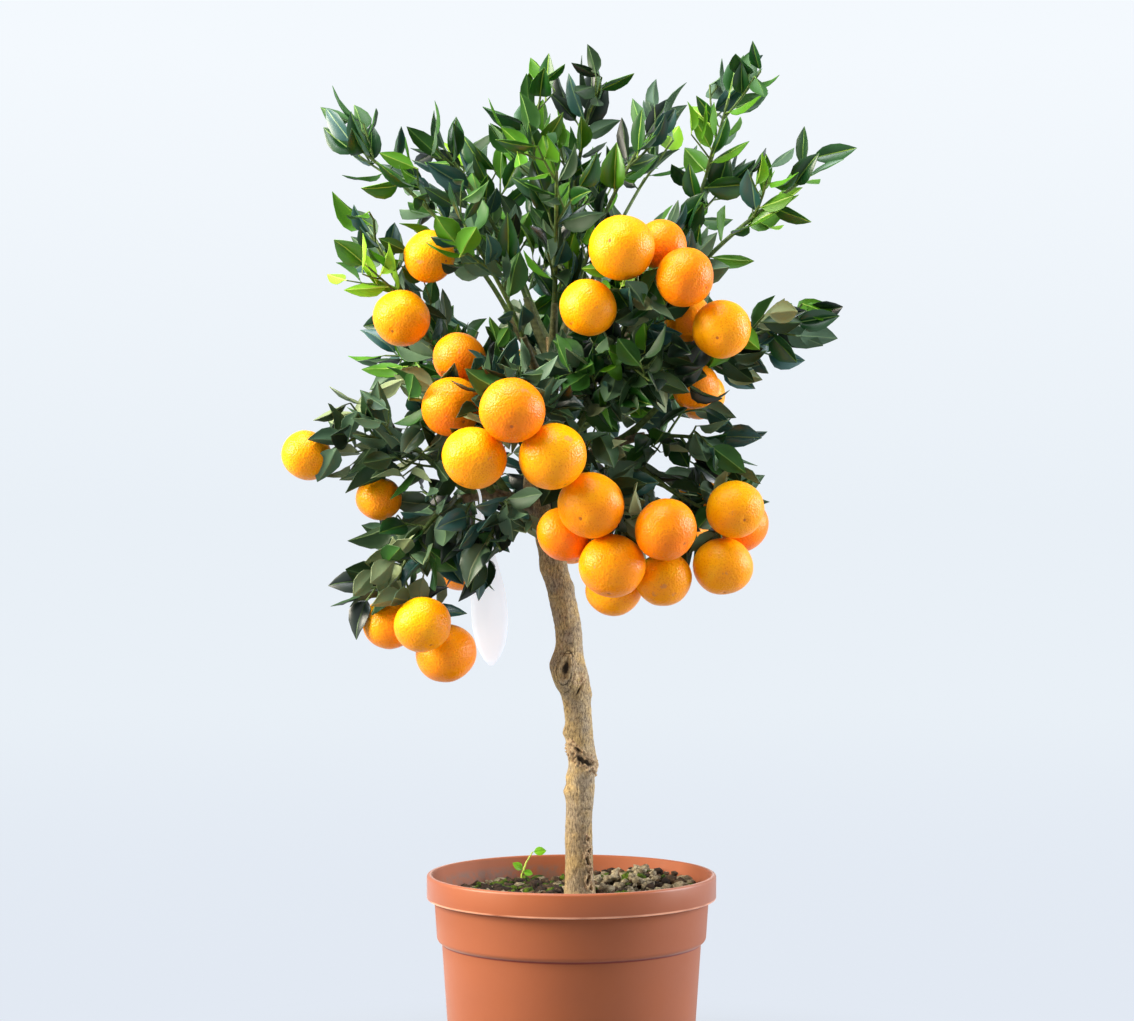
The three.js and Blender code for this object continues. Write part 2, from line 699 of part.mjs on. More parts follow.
const tree = new THREE.Group();
tree.name = "potted_tree";
tree.add(meshFrom("pot", makePot(), terracotta));
tree.add(meshFrom("soil", makeSoil(), earth));
tree.add(meshFrom("trunk", limbSolid(limbs.get("trunk")), bark));
for (const branch of BRANCHES) {
  if (!branch.joint) continue;
  const limb = limbs.get(branch.name);
  const solid = limbSolid(limb).subtract(limbSolid(limb.parent, GAP));
  tree.add(meshFrom(`bough_${branch.name}`, solid, greenWood));
}
for (const mass of masses) tree.add(meshFrom(`foliage_${mass.name}`, mass.solid(), foliage));

export default tree;
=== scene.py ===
"""Looks of a potted citrus tree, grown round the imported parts.

Sizes are in millimetres, as a grower would measure them, and MM turns them to metres when a mesh is made.
The crown grows by the rule that its solids follow: a stem goes on from each bough, and shoots, fruit and
leaves stand on it within the reach of their own mass. Here the rule is carried on to finer twigs.
"""
import json
import logging
import math
from dataclasses import dataclass, field
from enum import Enum
from typing import Callable, Iterable, Sequence

import bmesh
import bpy
import numpy as np
from bmesh.types import BMesh
from bpy.types import Material, Mesh, Node, NodeSocket, NodeTree, Object
from mathutils import Matrix, Vector, noise

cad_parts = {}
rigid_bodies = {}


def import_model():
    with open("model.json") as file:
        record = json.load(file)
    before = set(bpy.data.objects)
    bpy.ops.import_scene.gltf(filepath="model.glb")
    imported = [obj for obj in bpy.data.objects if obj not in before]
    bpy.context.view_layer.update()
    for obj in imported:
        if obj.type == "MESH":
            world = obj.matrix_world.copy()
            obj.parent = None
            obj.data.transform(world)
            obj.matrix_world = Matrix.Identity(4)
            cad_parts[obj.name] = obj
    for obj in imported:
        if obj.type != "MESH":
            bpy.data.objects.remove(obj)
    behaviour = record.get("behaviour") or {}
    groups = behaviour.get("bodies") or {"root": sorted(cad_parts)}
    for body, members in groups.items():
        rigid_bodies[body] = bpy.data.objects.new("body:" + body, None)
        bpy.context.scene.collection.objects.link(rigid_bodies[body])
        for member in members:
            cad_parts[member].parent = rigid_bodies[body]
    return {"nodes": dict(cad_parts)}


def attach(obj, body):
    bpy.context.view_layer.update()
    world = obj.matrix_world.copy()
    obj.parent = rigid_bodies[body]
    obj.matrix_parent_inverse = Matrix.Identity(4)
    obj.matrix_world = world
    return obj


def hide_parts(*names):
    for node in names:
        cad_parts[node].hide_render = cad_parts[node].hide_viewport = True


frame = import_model()

MM = 0.001
UP = Vector((0, 0, 1))
FULL_TURN = 2 * math.pi
ANY_TURN = 6.28  # the range of a turn that chance gives
GOLDEN_ANGLE = math.pi * (3 - math.sqrt(5))
GAP = 0.35  # between a bough's tip and the stem that goes on from it
EVERYBODY = -1  # owns what every mass keeps clear of
NOBODY = -2  # owns nothing, and so keeps clear of everything
MERGE = 1e-6  # points closer than this are one point, in metres
logger = logging.getLogger("citrus_tree")

Triple = tuple[float, float, float]
Screen = tuple[int, int, int]
Array = np.ndarray
RadiusRule = Callable[[Array, Array, Array], Array]


def mix(start: float, end: float, share: float) -> float:
    """Return the value that lies a share of the way from start to end."""
    return start + (end - start) * share


def bell(values: Array, middle: float, width: float) -> Array:
    """Return 1 where a value is the middle one, falling off smoothly to both sides."""
    return np.exp(-(((values - middle) / width) ** 2))


def linear_colour(red: int, green: int, blue: int) -> tuple[float, float, float, float]:
    """Turn a colour given as 0 to 255 on a screen into the linear colour that light uses.

    Args:
        red: Screen red.
        green: Screen green.
        blue: Screen blue.

    Returns:
        Linear red, green and blue, and an alpha of 1.
    """
    shares = [value / 255 for value in (red, green, blue)]
    linear = [((share + 0.055) / 1.055) ** 2.4 if share > 0.04 else share / 12.92 for share in shares]
    return (*linear, 1.0)


class Dice:
    """A small repeatable random source."""

    mask = 0xFFFFFFFF
    step = 0x6D2B79F5

    def __init__(self, seed: int) -> None:
        """Start the source from a whole number."""
        self.state = seed & self.mask

    def roll(self) -> float:
        """Return the next number from 0 up to 1."""
        self.state = (self.state + self.step) & self.mask
        mixed = ((self.state ^ (self.state >> 15)) * (self.state | 1)) & self.mask
        mixed ^= (mixed + (((mixed ^ (mixed >> 7)) * (mixed | 61)) & self.mask)) & self.mask
        return ((mixed ^ (mixed >> 14)) & self.mask) / (self.mask + 1)

    def between(self, start: float, end: float) -> float:
        """Return a number from start up to end."""
        return mix(start, end, self.roll())


def sideways(axis: Vector, azimuth: float) -> Vector:
    """Return a unit vector square to an axis, turned round it by an azimuth in radians."""
    reference = Vector((0, -1, 0)) if abs(axis.z) > 0.9 else UP
    across = axis.cross(reference).normalized()
    other = across.cross(axis)
    return across * math.cos(azimuth) + other * math.sin(azimuth)


class Curve:
    """A smooth line whose places can be asked for by the share of its length."""

    divisions = 200
    nearby = 1e-3

    def place(self, t: float) -> Vector:
        """Return the place at parameter t, from 0 to 1."""
        raise NotImplementedError

    def measure(self, divisions: int) -> None:
        """Add up the lengths along the line, in so many pieces."""
        self.parameters = np.linspace(0, 1, divisions + 1)
        places = np.array([self.place(t) for t in self.parameters])
        steps = np.linalg.norm(np.diff(places, axis=0), axis=1)
        self.lengths = np.concatenate(([0.0], np.cumsum(steps)))
        self.length = float(self.lengths[-1])

    def parameter(self, share: float) -> float:
        """Return the parameter of the place that lies a share of the length along."""
        return float(np.interp(share * self.length, self.lengths, self.parameters))

    def at(self, share: float) -> Vector:
        """Return the place that lies a share of the length along."""
        return self.place(self.parameter(share))

    def tangent(self, t: float) -> Vector:
        """Return the unit direction at parameter t."""
        return (self.place(min(t + self.nearby, 1)) - self.place(max(t - self.nearby, 0))).normalized()

    def heading(self, share: float) -> Vector:
        """Return the unit direction a share of the length along."""
        return self.tangent(self.parameter(share))

    def points(self, count: int) -> list[Vector]:
        """Return the ends of so many pieces that are even in parameter."""
        return [self.place(i / count) for i in range(count + 1)]

    def spaced(self, count: int) -> list[Vector]:
        """Return the ends of so many pieces of even length."""
        return [self.at(i / count) for i in range(count + 1)]


class Bend(Curve):
    """A line from start to end that is drawn towards a middle point."""

    def __init__(self, start: Vector, middle: Vector, end: Vector, divisions: int = Curve.divisions) -> None:
        """Keep the three points and measure the line."""
        self.start = start
        self.middle = middle
        self.end = end
        self.measure(divisions)

    def place(self, t: float) -> Vector:
        """Return the place at parameter t."""
        return self.start * (1 - t) ** 2 + self.middle * (2 * t * (1 - t)) + self.end * t**2


class Spline(Curve):
    """A line that passes smoothly through all its points."""

    def __init__(self, points: Sequence[Sequence[float]]) -> None:
        """Keep the points, with one more beyond each end, and measure the line."""
        inner = [Vector(point) for point in points]
        self.knots = [inner[0] * 2 - inner[1], *inner, inner[-1] * 2 - inner[-2]]
        self.measure(self.divisions)

    def place(self, t: float) -> Vector:
        """Return the place at parameter t."""
        count = len(self.knots) - 3
        number = min(int(t * count), count - 1)
        share = t * count - number
        before, start, end, after = self.knots[number : number + 4]
        spans = (start - before, end - start, after - end)
        first, middle, last = (math.sqrt(span.length) for span in spans)
        across = (end - start) / middle
        leave = ((start - before) / first - (end - before) / (first + middle) + across) * middle
        arrive = (across - (after - start) / (middle + last) + (after - end) / last) * middle
        square = (end - start) * 3 - leave * 2 - arrive
        cube = (start - end) * 2 + leave + arrive
        return start + leave * share + square * share**2 + cube * share**3


def bowed(start: Vector, end: Vector, rise: float) -> Bend:
    """Return a line from start to end whose middle is lifted by rise times its length."""
    middle = (start + end) / 2 + UP * (rise * (end - start).length * 2)
    return Bend(start, middle, end)


@dataclass(frozen=True)
class Growth:
    """How a bough and what grows on it carry themselves: rises and bows as shares, spreads in degrees."""

    bow: float
    rise: float
    leaf_rise: float
    leaf_spread: float
    shoot_spread: tuple[float, float]
    shoot_share: tuple[float, float]
    shoot_spacing: float
    leaf_spacing: float
    mingle: float
    bough_shoots: tuple[float, ...]


class Habit(Enum):
    """The three ways in which the boughs of this tree grow."""

    UPRIGHT = Growth(-0.05, 0.4, 0.05, 52, (50, 30), (0.6, 1.0), 31, 12.8, 0.1, (0.9, 0.7))
    SPREADING = Growth(-0.05, 0.2, -0.1, 58, (74, 40), (0.5, 0.85), 11, 11.2, 0.35, (0.94, 0.84, 0.72, 0.6))
    HANGING = Growth(0.12, -0.15, -0.4, 56, (78, 44), (0.5, 0.85), 11, 11.2, 0.35, (0.94, 0.84, 0.72, 0.6))


@dataclass(frozen=True)
class Branch:
    """One bough, the mass of foliage on it, and the fruit that hangs there.

    A joint is the bough's tip, where its mass starts. Fruit is given by place and diameter.
    """

    name: str
    parent: str
    at: float
    joint: Triple | None
    tip: Triple
    reach: float
    habit: Habit
    fruit: tuple[tuple[float, float, float, float], ...] = ()
    bears: int = 0


UPRIGHT, SPREADING, HANGING = Habit.UPRIGHT, Habit.SPREADING, Habit.HANGING
BRANCHES = (
    Branch("top_centre", "trunk", 1, None, (-36, -8, 844), 54, UPRIGHT),
    Branch("left_top", "trunk", 0.925, (-52, -2, 674), (-184, -18, 816), 46, UPRIGHT),
    Branch("upper_left", "trunk", 0.95, (-38, 6, 688), (-106, -4, 812), 50, UPRIGHT),
    Branch("top_right", "trunk", 0.955, (4, 3, 694), (62, -8, 822), 54, UPRIGHT),
    Branch("front_top", "trunk", 0.94, (-14, -22, 682), (-12, -92, 784), 54, UPRIGHT),
    Branch("front_top_left", "trunk", 0.9, (-40, -24, 654), (-86, -84, 738), 48, UPRIGHT),
    Branch("right_tall", "trunk", 0.82, (62, 2, 680), (131, -12, 857), 52, UPRIGHT),
    Branch("right_outer", "right_tall", 0.8, (94, -10, 700), (196, -26, 786), 46, UPRIGHT),
    Branch("front_right", "front_low", 0.5, (24, -44, 612), (52, -92, 690), 56, SPREADING,
           ((39, -121, 717, 52), (72, -80, 723, 42), (89, -118, 694, 47), (13, -110, 671, 46))),
    Branch("heart", "trunk", 0.86, (-4, -26, 608), (76, -84, 624), 54, SPREADING),
    Branch("right_mid", "right_low", 0.8, (86, -30, 614), (183, -46, 664), 41, SPREADING,
           ((94, -55, 667, 39), (119, -95, 655, 47), (100, -52, 612, 39))),
    Branch("right_low", "trunk", 0.7, (60, -20, 572), (124, -44, 568), 50, HANGING),
    Branch("right_hanging", "right_low", 0.55, (70, -36, 536), (118, -38, 508), 52, HANGING,
           ((131, -76, 512, 47), (139, -26, 499, 46), (122, -60, 466, 49), (110, 15, 521, 42))),
    Branch("front_low", "trunk", 0.74, (0, -44, 552), (38, -74, 497), 54, HANGING,
           ((15, -111, 515, 53), (-6, -77, 492, 45), (74, -108, 496, 50), (32, -94, 467, 53),
            (34, -47, 447, 46), (74, -69, 456, 46))),
    Branch("front_left", "trunk", 0.8, (-42, -44, 584), (-46, -122, 594), 56, SPREADING,
           ((-46, -161, 588, 51), (-76, -136, 552, 51), (-15, -138, 553, 54))),
    Branch("left_front", "left_low", 0.62, (-82, -38, 574), (-132, -84, 600), 54, SPREADING,
           ((-91, -50, 634, 44), (-96, -80, 594, 49))),
    Branch("left_outer", "left_low", 0.8, (-116, -28, 552), (-180, -46, 572), 48, SPREADING,
           ((-216, -40, 556, 42), (-158, -26, 521, 38))),
    Branch("left_upper", "left_low", 0.4, (-100, -8, 612), (-168, -16, 742), 50, UPRIGHT,
           ((-116, -40, 718, 43), (-139, -36, 668, 47))),
    Branch("left_low", "trunk", 0.69, (-90, -20, 520), (-144, -48, 446), 56, HANGING,
           ((-119, -86, 420, 46), (-148, -46, 419, 44), (-102, -44, 395, 50))),
    Branch("left_inner", "left_low", 0.3, (-58, -36, 506), (-74, -50, 476), 48, HANGING),
    Branch("back_top_left", "trunk", 0.975, (-34, 32, 686), (-88, 92, 802), 58, UPRIGHT),
    Branch("back_top_right", "trunk", 0.93, (6, 36, 676), (66, 92, 802), 58, UPRIGHT),
    Branch("back_left", "back_mid", 0.55, (-62, 50, 592), (-144, 92, 656), 58, SPREADING, bears=1),
    Branch("back_mid", "trunk", 0.76, (-22, 52, 594), (-12, 142, 668), 58, SPREADING, bears=1),
    Branch("back_right", "back_mid", 0.45, (34, 48, 598), (128, 84, 660), 58, SPREADING, bears=1),
    Branch("back_low_left", "left_low", 0.5, (-76, 34, 526), (-132, 84, 494), 56, HANGING, bears=1),
    Branch("back_low", "back_mid", 0.3, (-18, 58, 546), (-14, 128, 512), 56, HANGING, bears=2),
    Branch("back_low_right", "right_low", 0.35, (44, 38, 548), (112, 92, 520), 56, HANGING, bears=1),
    Branch("top_middle", "top_right", 0.6, (-4, 22, 704), (16, 6, 850), 52, UPRIGHT),
)


class Tone(Enum):
    """Leaf colours that are dealt out by spray: upper face, underside and midrib. The undersides are paler,
    as on the real leaf, and brightened further as painted light shining through them; the blue-grey of BLUE
    is partly a painted sheen, the reflection of the pale room.
    """

    DEEP = ((6, 28, 16), (36, 62, 30), (70, 96, 50))
    GREEN = ((12, 62, 18), (44, 88, 26), (100, 138, 56))
    BLUE = ((34, 78, 72), (78, 106, 78), (106, 134, 92))
    OLIVE = ((70, 94, 64), (126, 140, 98), (132, 142, 98))
    FRESH = ((26, 82, 14), (74, 128, 12), (136, 170, 58))
    BRIGHT = ((70, 124, 10), (124, 174, 28), (174, 198, 80))


class Side(Enum):
    """The sides of a leaf: each with its number in a tone, its roughness, specular level and coat."""

    UPPER = (0, 0.4, 0.6, 0.08)
    UNDER = (1, 0.5, 0.3, 0.0)
    RIB = (2, 0.5, 0.4, 0.0)

    def __init__(self, number: int, roughness: float, specular: float, coat: float) -> None:
        """Name the parts of the value."""
        self.number = number
        self.roughness = roughness
        self.specular = specular
        self.coat = coat


def leaf_colour(tone: Tone, side: Side) -> int:
    """Return the number of a leaf's colour among all leaf colours."""
    return list(Tone).index(tone) * len(Side) + side.number


class Rind(Enum):
    """Rind colours that are dealt out by fruit: the paler and the deeper orange, blended by random patches
    and by painted shade that is paler on the lit side.
    """

    ORANGE = ((255, 170, 0), (248, 140, 0))
    DEEP = ((254, 156, 0), (242, 122, 0))
    GOLD = ((255, 180, 0), (250, 152, 0))


class Crumb(Enum):
    """Colours of the lumps of soil: dark and pale."""

    DARK = ((26, 19, 14), (62, 47, 35))
    BROWN = ((56, 42, 30), (104, 84, 62))
    GREY = ((104, 94, 74), (176, 164, 136))
    MOSS = ((26, 44, 8), (86, 110, 18))


class Region(Enum):
    """Parts of the crown whose leaves are joined to one piece each."""

    TOP = "top"
    LEFT = "left"
    RIGHT = "right"
    HEART = "heart"
    BACK = "back"

    @classmethod
    def of(cls, branch: Branch) -> "Region":
        """Return the region that a branch's mass lies in, from where its tip is."""
        aside, top_foot = 60, 715
        x, y, z = branch.tip
        if y > aside:
            return cls.BACK
        if z > top_foot:
            return cls.TOP
        if x < -aside:
            return cls.LEFT
        return cls.RIGHT if x > aside else cls.HEART


def distances(places: Array, starts: Array, ends: Array) -> Array:
    """Measure from each place to each straight piece.

    Args:
        places: One row for each place.
        starts: Where each piece starts.
        ends: Where each piece ends.

    Returns:
        One row for each place and one column for each piece.
    """
    spans = ends - starts
    offsets = places[:, None, :] - starts[None, :, :]
    shares = np.einsum("ijk,jk->ij", offsets, spans) / np.maximum(np.einsum("jk,jk->j", spans, spans), 1e-9)
    offsets -= np.clip(shares, 0, 1)[:, :, None] * spans[None, :, :]
    return np.sqrt(np.einsum("ijk,ijk->ij", offsets, offsets))


class Obstacles:
    """Wood and fruit that the leaves of other masses keep clear of."""

    capacity = 9000

    def __init__(self) -> None:
        """Make room for the capsules."""
        self.starts = np.zeros((self.capacity, 3))
        self.ends = np.zeros((self.capacity, 3))
        self.radii = np.zeros(self.capacity)
        self.owners = np.zeros(self.capacity, dtype=int)
        self.count = 0

    def add(self, start: Vector, end: Vector, radius: float, owner: int) -> None:
        """Add one capsule, which its owner's own leaves may touch."""
        self.starts[self.count] = start
        self.ends[self.count] = end
        self.radii[self.count] = radius
        self.owners[self.count] = owner
        self.count += 1

    def add_curve(self, curve: Curve, radii: tuple[float, float], owner: int, pieces: int = 8) -> None:
        """Add a tapering limb as a row of capsules."""
        points = curve.points(pieces)
        for i in range(pieces):
            self.add(points[i], points[i + 1], mix(*radii, i / pieces), owner)

    def clear_of(self, places: Array, owner: int, margin: float) -> bool:
        """Say whether every place is at least margin from all that others own, and from all fruit."""
        count = self.count
        middle = places.mean(axis=0)
        extent = np.abs(places - middle).sum(axis=1).max() + margin
        halves = (self.ends[:count] - self.starts[:count]) / 2
        offsets = np.abs(self.starts[:count] + halves - middle)
        room = (self.radii[:count] + extent)[:, None] + np.abs(halves)
        near = (offsets < room).all(axis=1) & (self.owners[:count] != owner)
        picked = np.nonzero(near)[0]
        if not len(picked):
            return True
        gaps = distances(places, self.starts[picked], self.ends[picked]) - self.radii[picked]
        return bool((gaps > margin).all())


class Midribs:
    """The midribs of all leaves, so that no two leaves lie in each other."""

    capacity = 6000
    far = 45

    def __init__(self) -> None:
        """Make room for the midribs."""
        self.rows = np.zeros((self.capacity, 3, 3))
        self.count = 0

    def add(self, ribs: Array) -> None:
        """Keep the three places of a midrib."""
        self.rows[self.count] = ribs
        self.count += 1

    def crowded(self, ribs: Array, least: float) -> bool:
        """Say whether a midrib comes nearer than least to one that is kept."""
        rows = self.rows[: self.count]
        near = np.abs(rows[:, 1] - ribs[1]).max(axis=1) < self.far
        gaps = np.abs(rows[near][:, :, None, :] - ribs[None, None, :, :]).max(axis=3)
        return bool((gaps < least).any())


@dataclass
class Twig:
    """A thin shoot: its line and its thickness at root and tip, with the colour of its spray."""

    curve: Curve
    root_radius: float
    tip_radius: float
    bare: float
    tone: Tone
    vigour: float
    parent: "Twig | None" = None
    at: float = 0
    end: float = 1


@dataclass
class Fruit:
    """One fruit: a slightly uneven ball that leans towards its stalk, with a dip there and a dot opposite."""

    centre: Vector
    radius: float
    towards: Vector
    seed: int
    lumps = ((0.028, 1.3), (0.006, 4))
    flatness = 0.94
    dip_depth = 0.1
    dip_width = 0.2
    dot_depth = 0.05
    dot_width = 0.09
    # Painted light: the direction of the lit side of each fruit, and how much deeper the orange is on the
    # side away from it.
    painted_lit_side = Vector((-0.5, -0.25, 0.83))
    ripeness = 0.3
    star_radius = 4.4
    star_points = 5
    star_cut = 0.28
    star_thickness = 0.7
    seat = 0.885

    def set_in_place(self, bm: BMesh, centre: Vector, turn: float, size: float) -> None:
        """Turn a shape about its own axis, lean it towards the stalk and set it where it belongs."""
        lean = self.towards.to_track_quat("Z", "Y").to_matrix().to_4x4()
        spin = Matrix.Rotation(turn, 4, "Z")
        place = Matrix.Translation(centre * MM) @ lean @ spin @ Matrix.Scale(size * MM, 4)
        bmesh.ops.transform(bm, matrix=place, verts=bm.verts)

    def shape(self, marks: dict[str, list[float]]) -> BMesh:
        """Shape the fruit.

        Args:
            marks: Takes the painted shade of the rind at each point, deeper orange away from the lit upper
                left, and how near the point is to the dot.

        Returns:
            The fruit's mesh, in metres.
        """
        dice = Dice(self.seed * 77 + 5)
        offset = Vector((dice.roll(), dice.roll(), dice.roll())) * 9
        bm = bmesh.new()
        bmesh.ops.create_uvsphere(bm, u_segments=44, v_segments=28, radius=1)
        for vertex in bm.verts:
            place = vertex.co.copy()
            spread = math.hypot(place.x, place.y)
            uneven = 1
            for height, waves in self.lumps:
                uneven += height * noise.noise(place * waves + offset)
            dot = math.exp(-((spread / self.dot_width) ** 2))
            marks["dot"].append(dot if place.z < 0 else 0)
            place.z *= self.flatness
            if place.z > 0:
                place.z -= self.dip_depth * math.exp(-((spread / self.dip_width) ** 2))
            else:
                place.z += self.dot_depth * dot
            vertex.co = place * uneven
        self.set_in_place(bm, self.centre, dice.roll() * ANY_TURN, self.radius)
        # Painted shade: the rind is paler towards the lit upper left and deeper orange away from it.
        for vertex in bm.verts:
            outward = (vertex.co / MM - self.centre) / self.radius
            marks["ripe"].append(self.ripeness - self.ripeness * outward.dot(self.painted_lit_side))
        rind = int(dice.roll() * len(Rind))
        for face in bm.faces:
            face.material_index = rind
        return bm

    def shape_calyx(self) -> BMesh:
        """Shape the green pointed star that holds the fruit."""
        bm = bmesh.new()
        bmesh.ops.create_circle(bm, cap_ends=True, cap_tris=True, segments=20, radius=self.star_radius)
        for vertex in bm.verts:
            if math.hypot(vertex.co.x, vertex.co.y) > 1:
                azimuth = math.atan2(vertex.co.y, vertex.co.x)
                reach = 1 - self.star_cut + self.star_cut * math.cos(azimuth * self.star_points)
                vertex.co *= reach
                vertex.co.z = -0.5 - 0.5 * reach
        bmesh.ops.solidify(bm, geom=list(bm.faces), thickness=-self.star_thickness)
        bmesh.ops.recalc_face_normals(bm, faces=bm.faces)
        self.set_in_place(bm, self.centre + self.towards * (self.radius * self.seat), 0, 1)
        return bm


class Leaf:
    """One leaf: where it stands, how it is turned, how long it is, and the places tested for room."""

    width = 0.5
    least_facing = 0.2
    along = np.array((1, 0.72, 0.46, 0.46, 0.72, 0.24, 0.46, 0.72, 0.24))
    side = np.array((0, 0, 0, -1, -0.5, -0.5, 1, 0.5, 0.5))

    def __init__(
        self, root: Vector, axis: Vector, azimuth: float, spread: float, length: float, turn: float,
        rise: float,
    ) -> None:
        """Turn the leaf out from its twig, with its upper side towards the twig's tip."""
        heading = axis * math.cos(spread) + sideways(axis, azimuth) * math.sin(spread)
        heading = (heading + UP * rise).normalized()
        facing = axis - heading * axis.dot(heading)
        if facing.length < self.least_facing:
            facing = sideways(heading, azimuth)
        facing.normalize()
        self.across = facing.cross(heading) * math.cos(turn) + facing * math.sin(turn)
        self.up = self.across.cross(heading)
        self.heading = heading
        self.length = length
        self.root = root
        self.tone = Tone.GREEN
        self.form = 0
        half = length * self.width / 2
        spans = np.outer(self.along * length, heading) + np.outer(self.side * half, self.across)
        self.places = np.array(root) + spans

    def face(self, facing: Vector, breadth: float) -> None:
        """Turn the leaf's upper face this way, and broaden it."""
        self.across = self.heading.cross(facing).normalized() * breadth
        self.up = self.across.cross(self.heading).normalized()

    def matrix(self) -> Matrix:
        """Return the turn, size and place that set a leaf form of unit length here, in metres."""
        size = self.length * MM
        axes = Matrix((self.across * size, self.heading * size, self.up * size)).transposed()
        return Matrix.Translation(self.root * MM) @ axes.to_4x4()


@dataclass
class Territory:
    """Says which mass each place belongs to: the one whose stem is nearest for its reach."""

    stems: list[Curve]
    reaches: Array
    margin: float = 0.035
    pieces: int = 8

    def __post_init__(self) -> None:
        """Cut every stem into straight pieces."""
        rows = [[tuple(point) for point in stem.points(self.pieces)] for stem in self.stems]
        points = np.array(rows)
        self.starts = points[:, :-1].reshape(-1, 3)
        self.ends = points[:, 1:].reshape(-1, 3)

    def owned(self, places: Array, mass: int, overlap: float = 0) -> bool:
        """Say whether places belong to a mass.

        Args:
            places: One row for each place.
            mass: The number of the mass.
            overlap: How much nearer another stem may be, in reaches, where twigs may mingle.

        Returns:
            True if every place is within the mass's reach, and nearer to its stem than to any other.
        """
        gaps = distances(places, self.starts, self.ends).reshape(len(places), len(self.stems), self.pieces)
        depths = gaps.min(axis=2) / self.reaches
        own = depths[:, mass].copy()
        if own.max() > 1:
            return False
        depths[:, mass] = np.inf
        return bool((depths.min(axis=1) > own + self.margin - overlap).all())


@dataclass
class Room:
    """Where things may still grow: what stands in the way, whose place is whose, and where leaves stand."""

    obstacles: Obstacles
    territory: Territory
    midribs: Midribs

    def free(self, places: Array, mass: int, mingle: float, margin: float) -> bool:
        """Say whether places belong to a mass and are clear of all that others own."""
        return self.territory.owned(places, mass, mingle) and self.obstacles.clear_of(places, mass, margin)


